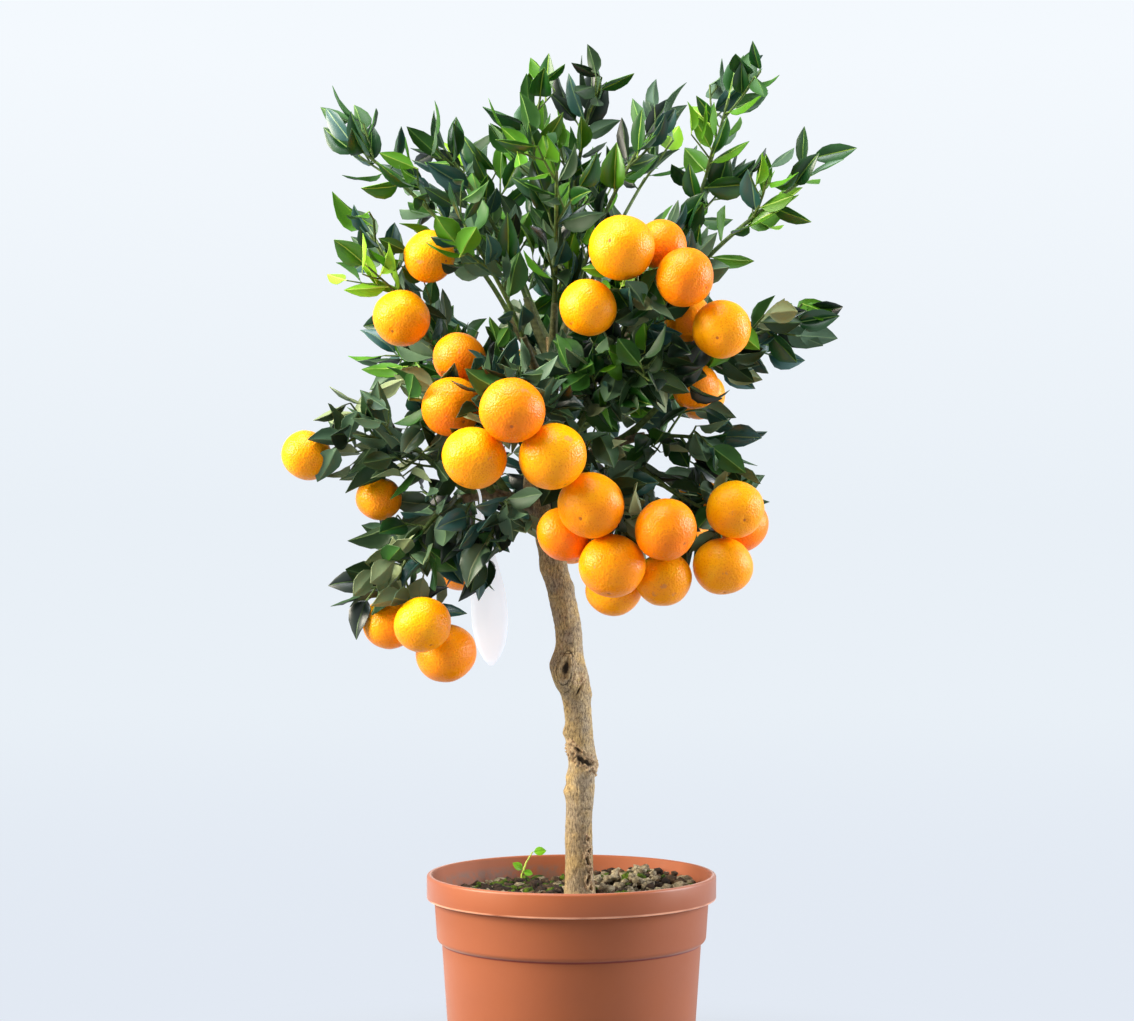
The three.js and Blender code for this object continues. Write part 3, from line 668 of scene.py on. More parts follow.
@dataclass
class Mass:
    """One mass of foliage: a stem, shoots in a spiral up the stem, side twigs, fruit and leaves."""

    branch: Branch
    index: int
    stem: Curve
    bough: Curve | None
    twigs: list[Twig] = field(default_factory=list)
    stalks: list[Curve] = field(default_factory=list)
    fruit: list[Fruit] = field(default_factory=list)
    leaves: list[Leaf] = field(default_factory=list)
    twig_spacing = 24
    leaf_length = (33, 46)
    leaf_apart = 0.15
    leaf_tries = 8
    leaf_sway = 16
    leaf_shrink = 0.05
    tip_tilt = 10
    own_tone = 0.8
    outermost = 0.97
    clear = 0.6
    bare = 0.04
    stem_radii = (2.2, 1.3)
    shoot_radii = (1.25, 0.8)
    side_radii = (0.85, 0.6)
    shoot_room = 0.9
    side_room = 0.6
    within = (0.2, 0.8)
    shortest = 7
    cuts = (1, 0.72, 0.5)
    shoot_lift = 0.22
    shoot_sway = 0.07
    stalk_radius = 1.1
    stalk_leaves = (0.86, 0.7, 0.5)
    stalk_leaf_spread = 92
    stalk_vigour = 0.86
    stalk_pull = 1.3
    stalk_rise = 0.7
    stalk_seat = 0.86
    fruit_hang = 6
    fruit_out = 5
    fruit_sag = 0.6
    fruit_gap = 2
    fruit_tries = 40
    later_fruit = (40, 52)
    crown_middle = 560
    crown_half = 280
    tone_levels = (0.62, 0.25)
    tone_shares = (
        ((Tone.BRIGHT, 0.2), (Tone.FRESH, 0.55), (Tone.BLUE, 0.75), (Tone.GREEN, 0.92)),
        ((Tone.FRESH, 0.2), (Tone.BLUE, 0.5), (Tone.GREEN, 0.75), (Tone.OLIVE, 0.82)),
        ((Tone.OLIVE, 0.28), (Tone.BLUE, 0.58), (Tone.GREEN, 0.7)),
    )

    @property
    def node(self) -> str:
        """The name of the solid that this mass stands for."""
        return f"foliage_{self.branch.name}"

    @property
    def seed(self) -> int:
        """The number that all chance in this mass starts from."""
        return self.index + 1

    def dice(self, purpose: int) -> Dice:
        """Return this mass's own random source for one purpose."""
        return Dice(self.seed * 1000 + purpose)

    def plan_fruit(self, room: Room) -> None:
        """Hang the fruit that has a known place."""
        for x, y, z, diameter in self.branch.fruit:
            self.add_fruit(Vector((x, y, z)), diameter / 2, room)

    def add_fruit(self, centre: Vector, radius: float, room: Room) -> None:
        """Hang a fruit: its stalk leaves the nearest part of the stem and enters it from above."""
        roots = self.stem.points(12)[2:]
        root = min(roots, key=lambda place: (place - centre).length)
        towards = ((root - centre).normalized() * self.stalk_pull + UP * self.stalk_rise).normalized()
        collar = centre + towards * radius * self.stalk_seat
        stalk = Bend(root, centre + towards * (radius + self.fruit_hang), collar, 20)
        self.stalks.append(stalk)
        self.fruit.append(Fruit(centre, radius, towards, self.seed * 10 + len(self.fruit)))
        room.obstacles.add(centre, centre + UP * 0.01, radius, EVERYBODY)
        room.obstacles.add_curve(stalk, (self.stalk_radius, self.stalk_radius), self.index, 4)

    def plant_more(self, room: Room) -> None:
        """Hang more fruit where the front view doesn't reach, round the outer half of the stem."""
        dice = self.dice(7)
        wanted = self.branch.bears
        for _ in range(self.fruit_tries):
            if not wanted:
                return
            radius = dice.between(*self.later_fruit) / 2
            share = dice.between(0.45, 1)
            across = sideways(self.stem.tangent(share), dice.roll() * FULL_TURN)
            aside = across * (radius + self.fruit_out)
            centre = self.stem.place(share) + aside - UP * (radius * self.fruit_sag)
            places = np.array([centre])
            own = room.territory.owned(places, self.index)
            if own and room.obstacles.clear_of(places, NOBODY, radius + self.fruit_gap):
                self.add_fruit(centre, radius, room)
                wanted -= 1

    def tone(self, place: Vector, dice: Dice) -> Tone:
        """Deal a colour to a spray: fresher at the top, more olive and deeper low down."""
        height = (place.z - self.crown_middle) / self.crown_half + 0.5 * (dice.roll() - 0.5)
        level = sum(height <= foot for foot in self.tone_levels)
        chance = dice.roll()
        for tone, share in self.tone_shares[level]:
            if chance < share:
                return tone
        return Tone.DEEP

    def plan_twigs(self, room: Room) -> None:
        """Grow curved shoots in a spiral up the stem, and side twigs on the longer shoots."""
        dice = self.dice(100)
        stem = Twig(self.stem, *self.stem_radii, self.bare, self.tone(self.stem.at(1), dice), 1)
        self.twigs.append(stem)
        habit = self.branch.habit.value
        count = round(self.stem.length * (1 - self.bare) / habit.shoot_spacing)
        for i in range(count):
            share = mix(self.bare, self.outermost, (i + dice.between(*self.within)) / count)
            spread = math.radians(mix(*habit.shoot_spread, share) + dice.between(-9, 9))
            length = self.branch.reach * dice.between(*habit.shoot_share)
            azimuth = i * GOLDEN_ANGLE + self.seed
            shoot = self.grow(self.stem, share, azimuth, spread, length, self.shoot_room, room, dice)
            self.add_shoot(shoot, stem, share, room, dice)
        for i, share in enumerate(habit.bough_shoots if self.bough else ()):
            spread = math.radians(dice.between(40, 70))
            length = self.branch.reach * dice.between(0.5, 0.8)
            azimuth = i * GOLDEN_ANGLE * 2
            shoot = self.grow(self.bough, share, azimuth, spread, length, self.shoot_room, room, dice)
            self.add_shoot(shoot, None, 0, room, dice)

    def add_shoot(self, shoot: Curve | None, parent: Twig | None, at: float, room: Room, dice: Dice) -> None:
        """Keep a shoot that found room, and grow side twigs on it."""
        if not shoot:
            return
        tone = self.tone(shoot.at(1), dice)
        twig = Twig(shoot, *self.shoot_radii, bare=0.08, tone=tone, vigour=0.96, parent=parent, at=at)
        self.twigs.append(twig)
        count = int(shoot.length / self.twig_spacing)
        for i in range(count):
            share = mix(0.25, 0.85, (i + dice.between(*self.within)) / count)
            spread = math.radians(dice.between(38, 58))
            length = shoot.length * dice.between(0.5, 0.75)
            azimuth = i * GOLDEN_ANGLE + dice.roll() * 6
            side = self.grow(shoot, share, azimuth, spread, length, self.side_room, room, dice)
            if side:
                radii = self.side_radii
                self.twigs.append(Twig(side, *radii, bare=0.1, tone=tone, vigour=0.9, parent=twig, at=share))

    def grow(
        self, parent: Curve, share: float, azimuth: float, spread: float, length: float, thickness: float,
        room: Room, dice: Dice,
    ) -> Curve | None:
        """Try to grow a shoot from a parent line, shorter with each try.

        Args:
            parent: The line that the shoot leaves.
            share: How far along the parent it starts.
            azimuth: Its direction round the parent.
            spread: Its angle from the parent, in radians.
            length: Its full length.
            thickness: Its radius, for the room it needs.
            room: Where it may grow.
            dice: The random source for its curve.

        Returns:
            The shoot's line, or None where there is no room.
        """
        start, axis = parent.at(share), parent.heading(share)
        habit = self.branch.habit.value
        outward = axis * math.cos(spread) + sideways(axis, azimuth) * math.sin(spread)
        heading = (outward + UP * habit.rise * 0.6).normalized()
        for cut in self.cuts:
            reach = length * cut
            if reach < self.shortest:
                return None
            sway = sideways(heading, dice.roll() * ANY_TURN) * (self.shoot_sway * reach)
            lift = UP * (habit.rise * self.shoot_lift * reach) + sway
            middle = start + heading * reach * 0.5 - lift * 0.4
            shoot = Bend(start, middle, start + heading * reach + lift, 12)
            if room.free(np.array(shoot.points(5)[1:]), self.index, habit.mingle, thickness + self.clear):
                room.obstacles.add_curve(shoot, (thickness, thickness), self.index, 2)
                return shoot
        return None

    def plan_leaves(self, room: Room) -> None:
        """Stand leaves in a spiral along each twig, with one at its tip, and some by the fruit."""
        habit = self.branch.habit.value
        dice = self.dice(500)
        for stalk in self.stalks:
            radii = (self.stalk_radius, self.stalk_radius)
            bearing = Twig(stalk, *radii, 0, self.tone(stalk.at(1), dice), self.stalk_vigour)
            for share in self.stalk_leaves:
                self.try_leaf(bearing, share, dice.roll() * FULL_TURN, self.stalk_leaf_spread, room, dice)
        for number, twig in enumerate(self.twigs):
            dice = self.dice(501 + number)
            length = twig.curve.length
            count = int(length * (self.outermost - twig.bare) / habit.leaf_spacing) + 1
            phase = dice.roll() * FULL_TURN
            twig.end = 0
            for i in range(count):
                share = self.outermost - i * habit.leaf_spacing / length
                spread = habit.leaf_spread if i else 0
                self.try_leaf(twig, share, phase + i * GOLDEN_ANGLE, spread, room, dice)
        for twig in reversed(self.twigs):
            if twig.parent and twig.end:
                twig.parent.end = max(twig.parent.end, twig.at)

    def try_leaf(
        self, twig: Twig, share: float, azimuth: float, spread: float, room: Room, dice: Dice
    ) -> None:
        """Turn a leaf round its twig until it has room, and keep it there.

        Args:
            twig: The twig that it stands on.
            share: How far along the twig it stands.
            azimuth: Its direction round the twig.
            spread: Its angle from the twig in degrees, or 0 for the one at the twig's tip.
            room: Where it may stand.
            dice: The random source for its size and turn.
        """
        habit = self.branch.habit.value
        root, axis = twig.curve.at(share), twig.curve.heading(share)
        for turn in range(self.leaf_tries):
            around = azimuth + turn * FULL_TURN / self.leaf_tries
            sway = dice.between(-self.leaf_sway, self.leaf_sway) if spread else self.tip_tilt * (1 + turn)
            angle = spread + sway
            size = dice.between(*self.leaf_length) * twig.vigour * (1 - self.leaf_shrink * (turn // 3))
            leaf = Leaf(root, axis, around, math.radians(angle), size, dice.between(-1, 1), habit.leaf_rise)
            ribs = leaf.places[:3]
            if room.midribs.crowded(ribs, self.leaf_apart * leaf.length):
                continue
            if room.free(leaf.places, self.index, habit.mingle, self.clear):
                leaf.tone = twig.tone if dice.roll() < self.own_tone else self.tone(root, dice)
                leaf.form = LeafForms.choose(self.branch.habit, dice.roll())
                self.leaves.append(leaf)
                room.midribs.add(ribs)
                twig.end = max(twig.end, share)
                return


class Nodes:
    """The nodes of a material or of the world, and short ways to add more."""

    def __init__(self, tree: NodeTree) -> None:
        """Keep the tree that the nodes stand in."""
        self.tree = tree

    def node(self, kind: str, inputs: dict[str | int, object], **settings: object) -> Node:
        """Add a node.

        Args:
            kind: The node's class, without its ShaderNode prefix.
            inputs: Values or output sockets for its inputs, by name or number.
            settings: Values for its own settings.

        Returns:
            The new node.
        """
        node = self.tree.nodes.new(f"ShaderNode{kind}")
        for setting, value in settings.items():
            setattr(node, setting, value)
        for key, value in inputs.items():
            if isinstance(value, NodeSocket):
                self.tree.links.new(value, node.inputs[key])
            else:
                node.inputs[key].default_value = value
        return node

    def blend(self, share: NodeSocket, first: Screen | NodeSocket, second: Screen | NodeSocket) -> NodeSocket:
        """Blend two colours, each a screen colour or a socket, by a share."""
        first, second = (
            colour if isinstance(colour, NodeSocket) else linear_colour(*colour) for colour in (first, second)
        )
        return self.node("Mix", {0: share, 6: first, 7: second}, data_type="RGBA").outputs[2]


class Finish(Nodes):
    """A procedural finish: one Principled shader and the nodes that feed it."""

    def __init__(self, name: str, **sockets: object) -> None:
        """Make the material and set the shader's own sockets, named with underscores for spaces."""
        self.material = bpy.data.materials.new(name)
        self.material.use_nodes = True
        super().__init__(self.material.node_tree)
        self.shader = self.tree.nodes["Principled BSDF"]
        self.coordinates = self.tree.nodes.new("ShaderNodeTexCoord").outputs["Object"]
        for socket, value in sockets.items():
            self.shader.inputs[socket.replace("_", " ").title().replace("Ior", "IOR")].default_value = value

    def stretched(self, scale: Triple) -> NodeSocket:
        """Return the object's own coordinates, scaled along each axis."""
        return self.node("Mapping", {"Vector": self.coordinates, "Scale": scale}).outputs[0]

    def axes(self) -> Sequence[NodeSocket]:
        """Return the object's own coordinates one by one."""
        return self.node("SeparateXYZ", {0: self.coordinates}).outputs

    def distance(self, spot: Triple = (0, 0, 0), vector: NodeSocket | None = None) -> NodeSocket:
        """Return how far each place is from a spot, in metres."""
        inputs = {0: vector or self.coordinates, 1: spot}
        return self.node("VectorMath", inputs, operation="DISTANCE").outputs["Value"]

    def noise(
        self, scale: float, detail: float = 3, vector: NodeSocket | None = None, rough: float = 0.5
    ) -> NodeSocket:
        """Return a noise value from 0 to 1 with so many waves to the metre."""
        inputs = {"Vector": vector or self.coordinates, "Scale": scale, "Detail": detail, "Roughness": rough}
        return self.node("TexNoise", inputs).outputs[0]

    def cells(self, scale: float, vector: NodeSocket | None = None) -> NodeSocket:
        """Return the distance to the nearest of scattered points, so many to the metre."""
        inputs = {"Vector": vector or self.coordinates, "Scale": scale}
        return self.node("TexVoronoi", inputs).outputs["Distance"]

    def attribute(self, name: str) -> NodeSocket:
        """Return a value that the mesh carries at its points."""
        return self.node("Attribute", {}, attribute_name=name).outputs["Fac"]

    def band(
        self, value: NodeSocket, start: float, end: float, low: float = 0, high: float = 1
    ) -> NodeSocket:
        """Spread a value's range from start to end over the range from low to high, smoothly."""
        inputs = {0: value, 1: start, 2: end, 3: low, 4: high}
        return self.node("MapRange", inputs, interpolation_type="SMOOTHSTEP").outputs[0]

    def times(self, first: NodeSocket, second: NodeSocket | float) -> NodeSocket:
        """Multiply two values."""
        return self.node("Math", {0: first, 1: second}, operation="MULTIPLY").outputs[0]

    def plus(self, first: NodeSocket, second: NodeSocket) -> NodeSocket:
        """Add two values."""
        return self.node("Math", {0: first, 1: second}, operation="ADD").outputs[0]

    def colour(self, socket: NodeSocket) -> None:
        """Feed the base colour."""
        self.tree.links.new(socket, self.shader.inputs["Base Color"])

    def roughness(self, socket: NodeSocket) -> None:
        """Feed the roughness."""
        self.tree.links.new(socket, self.shader.inputs["Roughness"])

    def relief(self, *layers: tuple[NodeSocket, float, float]) -> None:
        """Feed the normal from height layers, each with its depth in metres and its strength."""
        normal = None
        for height, depth, strength in layers:
            inputs = {"Height": height, "Distance": depth, "Strength": strength}
            if normal:
                inputs["Normal"] = normal
            normal = self.node("Bump", inputs).outputs[0]
        self.tree.links.new(normal, self.shader.inputs["Normal"])


class Finishes:
    """All the finishes of the tree and its pot, each made once. Places and sizes in them are in metres."""

    specks = (
        ((0.070, -0.083, 0.128), 0.0013), ((0.071, -0.081, 0.118), 0.0012), ((0.068, -0.082, 0.089), 0.0014),
    )

    def __init__(self) -> None:
        """Make every finish."""
        self.plastic = self.make_plastic()
        self.soil = self.make_earth("soil", (24, 18, 13), (56, 44, 32))
        self.crumbs = [self.make_earth(f"crumb_{crumb.name.lower()}", *crumb.value) for crumb in Crumb]
        self.bark = self.make_bark()
        self.green_bark = self.make_green_bark()
        self.leaves = [self.make_leaf(tone, side) for tone in Tone for side in Side]
        self.rinds = [self.make_rind(rind) for rind in Rind]
        self.sprout = Finish("sprout", base_color=linear_colour(104, 166, 16), roughness=0.45).material
        self.calyx = self.make_calyx()
        self.label = self.make_label()
        self.floor = self.make_floor()

    def make_plastic(self) -> Material:
        """Moulded terracotta-coloured plastic: soft gloss, a pale band along the rim's lower edge that is
        partly wear and partly a painted highlight, painted shade in the crease under the collar, a tide line
        and specks.
        """
        finish = Finish("terracotta_plastic", specular_ior_level=0.45, sheen_weight=0.26, sheen_roughness=0.4)
        base = finish.blend(finish.band(finish.noise(9, 4), 0.3, 0.7), (145, 74, 36), (153, 80, 40))
        x, y, z = finish.axes()
        radius = finish.distance(vector=finish.stretched((1, 1, 0)))
        # Painted shade: a dark red-brown line in the crease under the collar, where shade falls.
        collar_crease_shade = finish.times(finish.band(z, 0.1523, 0.1531), finish.band(z, 0.155, 0.1542))
        crease_shaded = finish.blend(collar_crease_shade, base, (112, 30, 10))
        # A pale band along the rim's lower edge, broken up by noise: partly wear, partly a painted highlight.
        edge = finish.times(finish.band(z, 0.1922, 0.191), finish.band(radius, 0.117, 0.1185))
        rubbed_wear_and_highlight = finish.times(edge, finish.band(finish.noise(26, 2), 0.25, 0.6))
        worn_and_highlighted = finish.blend(rubbed_wear_and_highlight, crease_shaded, (226, 160, 126))
        low = finish.times(finish.band(z, 0.204, 0.198), finish.band(z, 0.188, 0.1895))
        side = finish.times(finish.band(y, 0.0, 0.05), finish.band(x, 0.05, -0.02))
        inner = finish.band(radius, 0.117, 0.116)
        ragged = finish.band(finish.noise(90, 6, rough=0.7), 0.38, 0.6, 0.05, 0.9)
        stain = finish.times(finish.times(low, side), finish.times(inner, ragged))
        colour = finish.blend(stain, worn_and_highlighted, (118, 86, 70))
        for spot, size in self.specks:
            ripple = finish.band(finish.noise(900, 2), 0.2, 0.8, -0.0006, 0.0006)
            spread = finish.plus(finish.distance(spot), ripple)
            colour = finish.blend(finish.band(spread, size, size * 0.6, 0, 0.75), colour, (76, 36, 22))
        finish.colour(colour)
        dull = finish.band(finish.noise(35, 3), 0.3, 0.7, 0.36, 0.44)
        finish.roughness(finish.plus(dull, finish.times(inner, 0.3)))
        finish.relief((finish.noise(420, 2), 0.0002, 0.12), (finish.noise(14, 2), 0.0015, 0.08))
        return finish.material

    def make_earth(self, name: str, dark: Screen, pale: Screen) -> Material:
        """Damp crumbly earth, from dark to pale."""
        finish = Finish(name, roughness=0.9, specular_ior_level=0.25)
        patches = finish.band(finish.noise(240, 6, rough=0.72), 0.38, 0.64)
        finish.colour(finish.blend(patches, dark, pale))
        finish.relief((finish.noise(420, 5, rough=0.75), 0.002, 0.9))
        return finish.material

    def make_bark(self) -> Material:
        """Grey-tan bark with fine upright cracks, corky dots, raw wood where it is scarred, and painted shade
        in the scars' hollows.
        """
        finish = Finish("bark", roughness=0.85, specular_ior_level=0.25)
        streaks = finish.noise(760, 6, finish.stretched((1, 1, 0.4)), 0.72)
        dots = finish.cells(820, finish.stretched((1, 1, 0.7)))
        height = finish.axes()[2]
        raw, hollow = finish.attribute("raw"), finish.attribute("hollow")
        colour = finish.blend(finish.band(finish.noise(60, 4), 0.35, 0.66), (204, 174, 118), (176, 158, 130))
        for share, layer in (
            (finish.band(streaks, 0.34, 0.56, 0.85, 0), (82, 68, 54)),
            (finish.band(streaks, 0.56, 0.66, 0, 0.75), (222, 204, 166)),
            (finish.band(dots, 0.3, 0.14, 0, 0.5), (92, 76, 58)),
            (finish.band(height, 0.31, 0.22, 0, 0.35), (96, 80, 62)),
            (finish.band(raw, 0.15, 0.8, 0, 0.8), (214, 186, 146)),
            (finish.times(finish.band(raw, 0.2, 0.6), finish.band(streaks, 0.52, 0.4)), (122, 86, 60)),
            # Painted shade in the scars' hollows and in the grooves between their rings.
            (finish.band(hollow, 0.25, 0.7, 0, 0.95), (40, 32, 24)),
        ):
            colour = finish.blend(share, colour, layer)
        finish.colour(colour)
        finish.relief((streaks, 0.002, 0.85), (dots, 0.0008, 0.3))
        return finish.material

    def make_green_bark(self) -> Material:
        """Young bark: brown on the thick boughs near the trunk, green on what is thin."""
        finish = Finish("green_bark", roughness=0.6, specular_ior_level=0.4)
        streaks = finish.noise(260, 4, rough=0.6)
        green = finish.blend(finish.band(streaks, 0.35, 0.7), (62, 84, 34), (98, 118, 52))
        brown = finish.blend(finish.band(streaks, 0.35, 0.7), (92, 80, 58), (140, 124, 94))
        finish.colour(finish.blend(finish.band(finish.attribute("woody"), 0.1, 0.9), green, brown))
        finish.relief((streaks, 0.0006, 0.4))
        return finish.material

    def make_leaf(self, tone: Tone, side: Side) -> Material:
        """One plain leaf colour: the upper side is glossier than the underside and the midrib."""
        return Finish(
            f"leaf_{tone.name.lower()}_{side.name.lower()}",
            base_color=linear_colour(*tone.value[side.number]),
            roughness=side.roughness,
            specular_ior_level=side.specular,
            coat_weight=side.coat,
            coat_roughness=0.3,
        ).material

    def make_rind(self, rind: Rind) -> Material:
        """Orange rind with painted shade, paler on the lit side and deeper orange away from it, fine oil
        pores, a soft shine and a few dull scars.
        """
        name = f"rind_{rind.name.lower()}"
        finish = Finish(name, specular_ior_level=0.22, subsurface_weight=0.12, subsurface_scale=0.004)
        # Random patches and the painted shade together set how deep the orange is.
        ripe = finish.plus(finish.noise(38, 3), finish.attribute("ripe"))
        base = finish.blend(finish.band(ripe, 0.35, 0.95), *rind.value)
        freckled = finish.blend(finish.band(finish.cells(560), 0.4, 0.08, 0, 0.55), base, (216, 92, 0))
        scars = finish.band(finish.noise(75, 5, rough=0.62), 0.65, 0.72, 0, 0.6)
        scarred = finish.blend(scars, freckled, (206, 128, 84))
        dot = finish.band(finish.attribute("dot"), 0.5, 0.75, 0, 0.8)
        finish.colour(finish.blend(dot, scarred, (170, 84, 36)))
        finish.roughness(finish.band(scars, 0, 0.5, 0.34, 0.6))
        finish.relief((finish.cells(560), 0.0009, 0.42), (finish.noise(60, 3), 0.002, 0.16))
        return finish.material

    def make_calyx(self) -> Material:
        """The dry green star at the stalk end of a fruit."""
        finish = Finish("calyx", roughness=0.7)
        mottles = finish.band(finish.noise(500, 3), 0.35, 0.65)
        finish.colour(finish.blend(mottles, (90, 108, 48), (130, 128, 74)))
        finish.relief((finish.noise(900, 2), 0.0004, 0.4))
        return finish.material

    def make_label(self) -> Material:
        """Milky plastic with faint wear, made to glow: painted light that stands in for light shining through
        it.
        """
        # Painted light: the strip glows though it is no lamp, standing in for light shining through it.
        glow = linear_colour(236, 238, 242)
        finish = Finish("label_plastic", specular_ior_level=0.3, emission_strength=0.7, emission_color=glow)
        wear = finish.band(finish.noise(90, 4, finish.stretched((1, 1, 0.3))), 0.4, 0.7)
        finish.colour(finish.blend(wear, (186, 196, 208), (174, 184, 196)))
        finish.roughness(finish.band(wear, 0, 1, 0.32, 0.5))
        finish.relief((finish.noise(120, 3), 0.0005, 0.15))
        return finish.material

    def make_floor(self) -> Material:
        """A pale floor that goes over into the pale surroundings further out."""
        finish = Finish("pale_floor", roughness=1.0, specular_ior_level=0.0)
        grain = finish.band(finish.noise(30, 3), 0.3, 0.7)
        finish.colour(finish.blend(grain, (142, 146, 152), (146, 150, 156)))
        radius = finish.distance()
        tint = finish.blend(finish.band(radius, 0.5, 5), Studio.near_colour, Studio.low_colour)
        glow = finish.node("Emission", {"Color": tint, "Strength": 1.0}).outputs[0]
        share = finish.band(radius, 0.14, 0.6)
        mixer = finish.node("MixShader", {0: share, 1: finish.shader.outputs[0], 2: glow})
        output = next(node for node in finish.tree.nodes if node.type == "OUTPUT_MATERIAL")
        finish.tree.links.new(mixer.outputs[0], output.inputs["Surface"])
        return finish.material


@dataclass(frozen=True)
class Studio:
    """The photograph's view, a pale room and soft light from the upper left."""

    eye: Triple = (-3.74, -2168, 511)
    sensor: float = 36
    focal_pixels: float = 2611
    frame_width: float = 1134
    high_colour: Screen = (244, 249, 254)
    low_colour: Screen = (233, 240, 247)
    near_colour: Screen = (226, 233, 243)
    high_from: float = 0.17
    room_light: float = 0.29
    mirrored_light: float = 0.8
    aim: Triple = (0, 0, 0.5)
    floor_radius: float = 9000
    floor_drop: float = 0.5

    def set_up(self, floor_finish: Material) -> None:
        """Make the camera, the world, the lights and the floor."""
        self.make_camera()
        self.make_world()
        self.make_light("window_left", (-2.3, -0.6, 1.5), 1.5, 186, (1.0, 0.91, 0.76))
        self.make_light("sky_above", (-0.5, -0.6, 2.7), 1.4, 76, (0.9, 0.96, 1.0))
        self.make_light("window_right", (1.9, 0.1, 0.9), 1.1, 58, (0.93, 0.95, 1.0))
        self.make_floor(floor_finish)

    def make_camera(self) -> None:
        """Stand a level camera in front of the tree, with everything sharp."""
        data = bpy.data.cameras.new("camera")
        data.sensor_fit = "HORIZONTAL"
        data.sensor_width = self.sensor
        data.lens = self.focal_pixels / self.frame_width * self.sensor
        camera = link_object("camera", data)
        camera.location = Vector(self.eye) * MM
        camera.rotation_euler = (math.radians(90), 0, 0)
        bpy.context.scene.camera = camera
        bpy.context.scene.view_settings.view_transform = "Standard"

    def make_world(self) -> None:
        """Light the room evenly, and show it paler than it shines."""
        world = bpy.data.worlds.new("pale_room")
        world.use_nodes = True
        bpy.context.scene.world = world
        nodes = Nodes(world.node_tree)
        height = nodes.node("SeparateXYZ", {0: nodes.node("TexCoord", {}).outputs["Generated"]}).outputs[2]
        share = nodes.node("MapRange", {0: height, 1: 0, 2: self.high_from}).outputs[0]
        strength: float | NodeSocket = self.room_light
        rays = nodes.node("LightPath", {}).outputs
        for ray, level in (("Is Glossy Ray", self.mirrored_light), ("Is Camera Ray", 1.0)):
            strength = nodes.node("Mix", {0: rays[ray], 2: strength, 3: level}).outputs[0]
        tint = nodes.blend(share, self.low_colour, self.high_colour)
        background = nodes.tree.nodes["Background"]
        nodes.tree.links.new(tint, background.inputs["Color"])
        nodes.tree.links.new(strength, background.inputs["Strength"])

    def make_light(self, name: str, place: Triple, size: float, power: float, colour: Triple) -> None:
        """Hang a soft square light that looks at the crown."""
        data = bpy.data.lights.new(name, "AREA")
        data.size = size
        data.energy = power
        data.color = colour
        light = link_object(name, data)
        light.location = place
        light.rotation_euler = (Vector(self.aim) - Vector(place)).to_track_quat("-Z", "Y").to_euler()

    def make_floor(self, finish: Material) -> None:
        """Lay a wide round floor under the pot."""
        bm = bmesh.new()
        bmesh.ops.create_circle(bm, cap_ends=True, segments=96, radius=self.floor_radius * MM)
        bmesh.ops.translate(bm, verts=bm.verts, vec=(0, 0, -self.floor_drop * MM))
        floor = add_object("floor", bm, [finish])


def link_object(name: str, data: bpy.types.ID) -> Object:
    """Make an object at the origin for a mesh, a light or a camera."""
    made = bpy.data.objects.new(name, data)
    bpy.context.collection.objects.link(made)
    return made


def add_object(name: str, bm: BMesh, materials: Iterable[Material], smooth: bool = True) -> Object:
    """Make an object at the origin from a bmesh, and free the bmesh.

    Args:
        name: The object's name.
        bm: The shape, in metres.
        materials: The finishes that its faces number.
        smooth: Whether all faces are shaded smooth.

    Returns:
        The new object.
    """
    mesh = bpy.data.meshes.new(name)
    if smooth:
        for face in bm.faces:
            face.smooth = True
    bm.to_mesh(mesh)
    bm.free()
    for material in materials:
        mesh.materials.append(material)
    return link_object(name, mesh)


def mark(piece: Object, name: str, values: Sequence[float]) -> None:
    """Give a piece a value at each of its points."""
    piece.data.attributes.new(name, "FLOAT", "POINT").data.foreach_set("value", values)


def dress(piece: Object, nodes: Sequence[str] = ()) -> None:
    """Let a piece ride with the tree, hide the solids it stands for, and log its triangles."""
    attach(piece, "root")
    if nodes:
        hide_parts(*nodes)
    triangles = sum(len(polygon.vertices) - 2 for polygon in piece.data.polygons)
    logger.info("%s: %d triangles", piece.name, triangles)


def rolled_tube(curve: Curve, radius_at: RadiusRule, sides: int, steps: int) -> BMesh:
    """Roll a grid round a curve to a closed tube.

    Args:
        curve: The centre line.
        radius_at: Gives the radius in mm from share of length, azimuth and centre height, as arrays.
        sides: Faces round the tube.
        steps: Faces along the tube.

    Returns:
        The tube in metres, with its seam merged and its ends filled.
    """
    bm = bmesh.new()
    bmesh.ops.create_grid(bm, x_segments=sides, y_segments=steps, size=0.5)
    flat = np.array([vertex.co[:2] for vertex in bm.verts]) + 0.5
    rows = np.rint(flat[:, 1] * steps).astype(int)
    centres = curve.spaced(steps)
    headings = [curve.heading(i / steps) for i in range(steps + 1)]
    across = [(Vector((1, 0, 0)) - headings[0] * headings[0].x).normalized()]
    for heading in headings[1:]:
        across.append((across[-1] - heading * across[-1].dot(heading)).normalized())
    firsts = np.array(across)[rows]
    seconds = np.array([heading.cross(side) for heading, side in zip(headings, across)])[rows]
    middles = np.array(centres)[rows]
    azimuth = flat[:, 0] * FULL_TURN
    radii = radius_at(flat[:, 1], azimuth, middles[:, 2])
    outward = firsts * np.cos(azimuth)[:, None] + seconds * np.sin(azimuth)[:, None]
    places = (middles + outward * radii[:, None]) * MM
    for vertex, place in zip(bm.verts, places):
        vertex.co = place
    bmesh.ops.remove_doubles(bm, verts=bm.verts, dist=MERGE)
    bmesh.ops.holes_fill(bm, edges=[edge for edge in bm.edges if edge.is_boundary], sides=0)
    bmesh.ops.recalc_face_normals(bm, faces=bm.faces)
    return bm


def join(target: BMesh, shape: BMesh) -> None:
    """Move a shape's faces into another bmesh."""
    mesh = bpy.data.meshes.new("joined")
    shape.to_mesh(mesh)
    shape.free()
    target.from_mesh(mesh)
    bpy.data.meshes.remove(mesh)


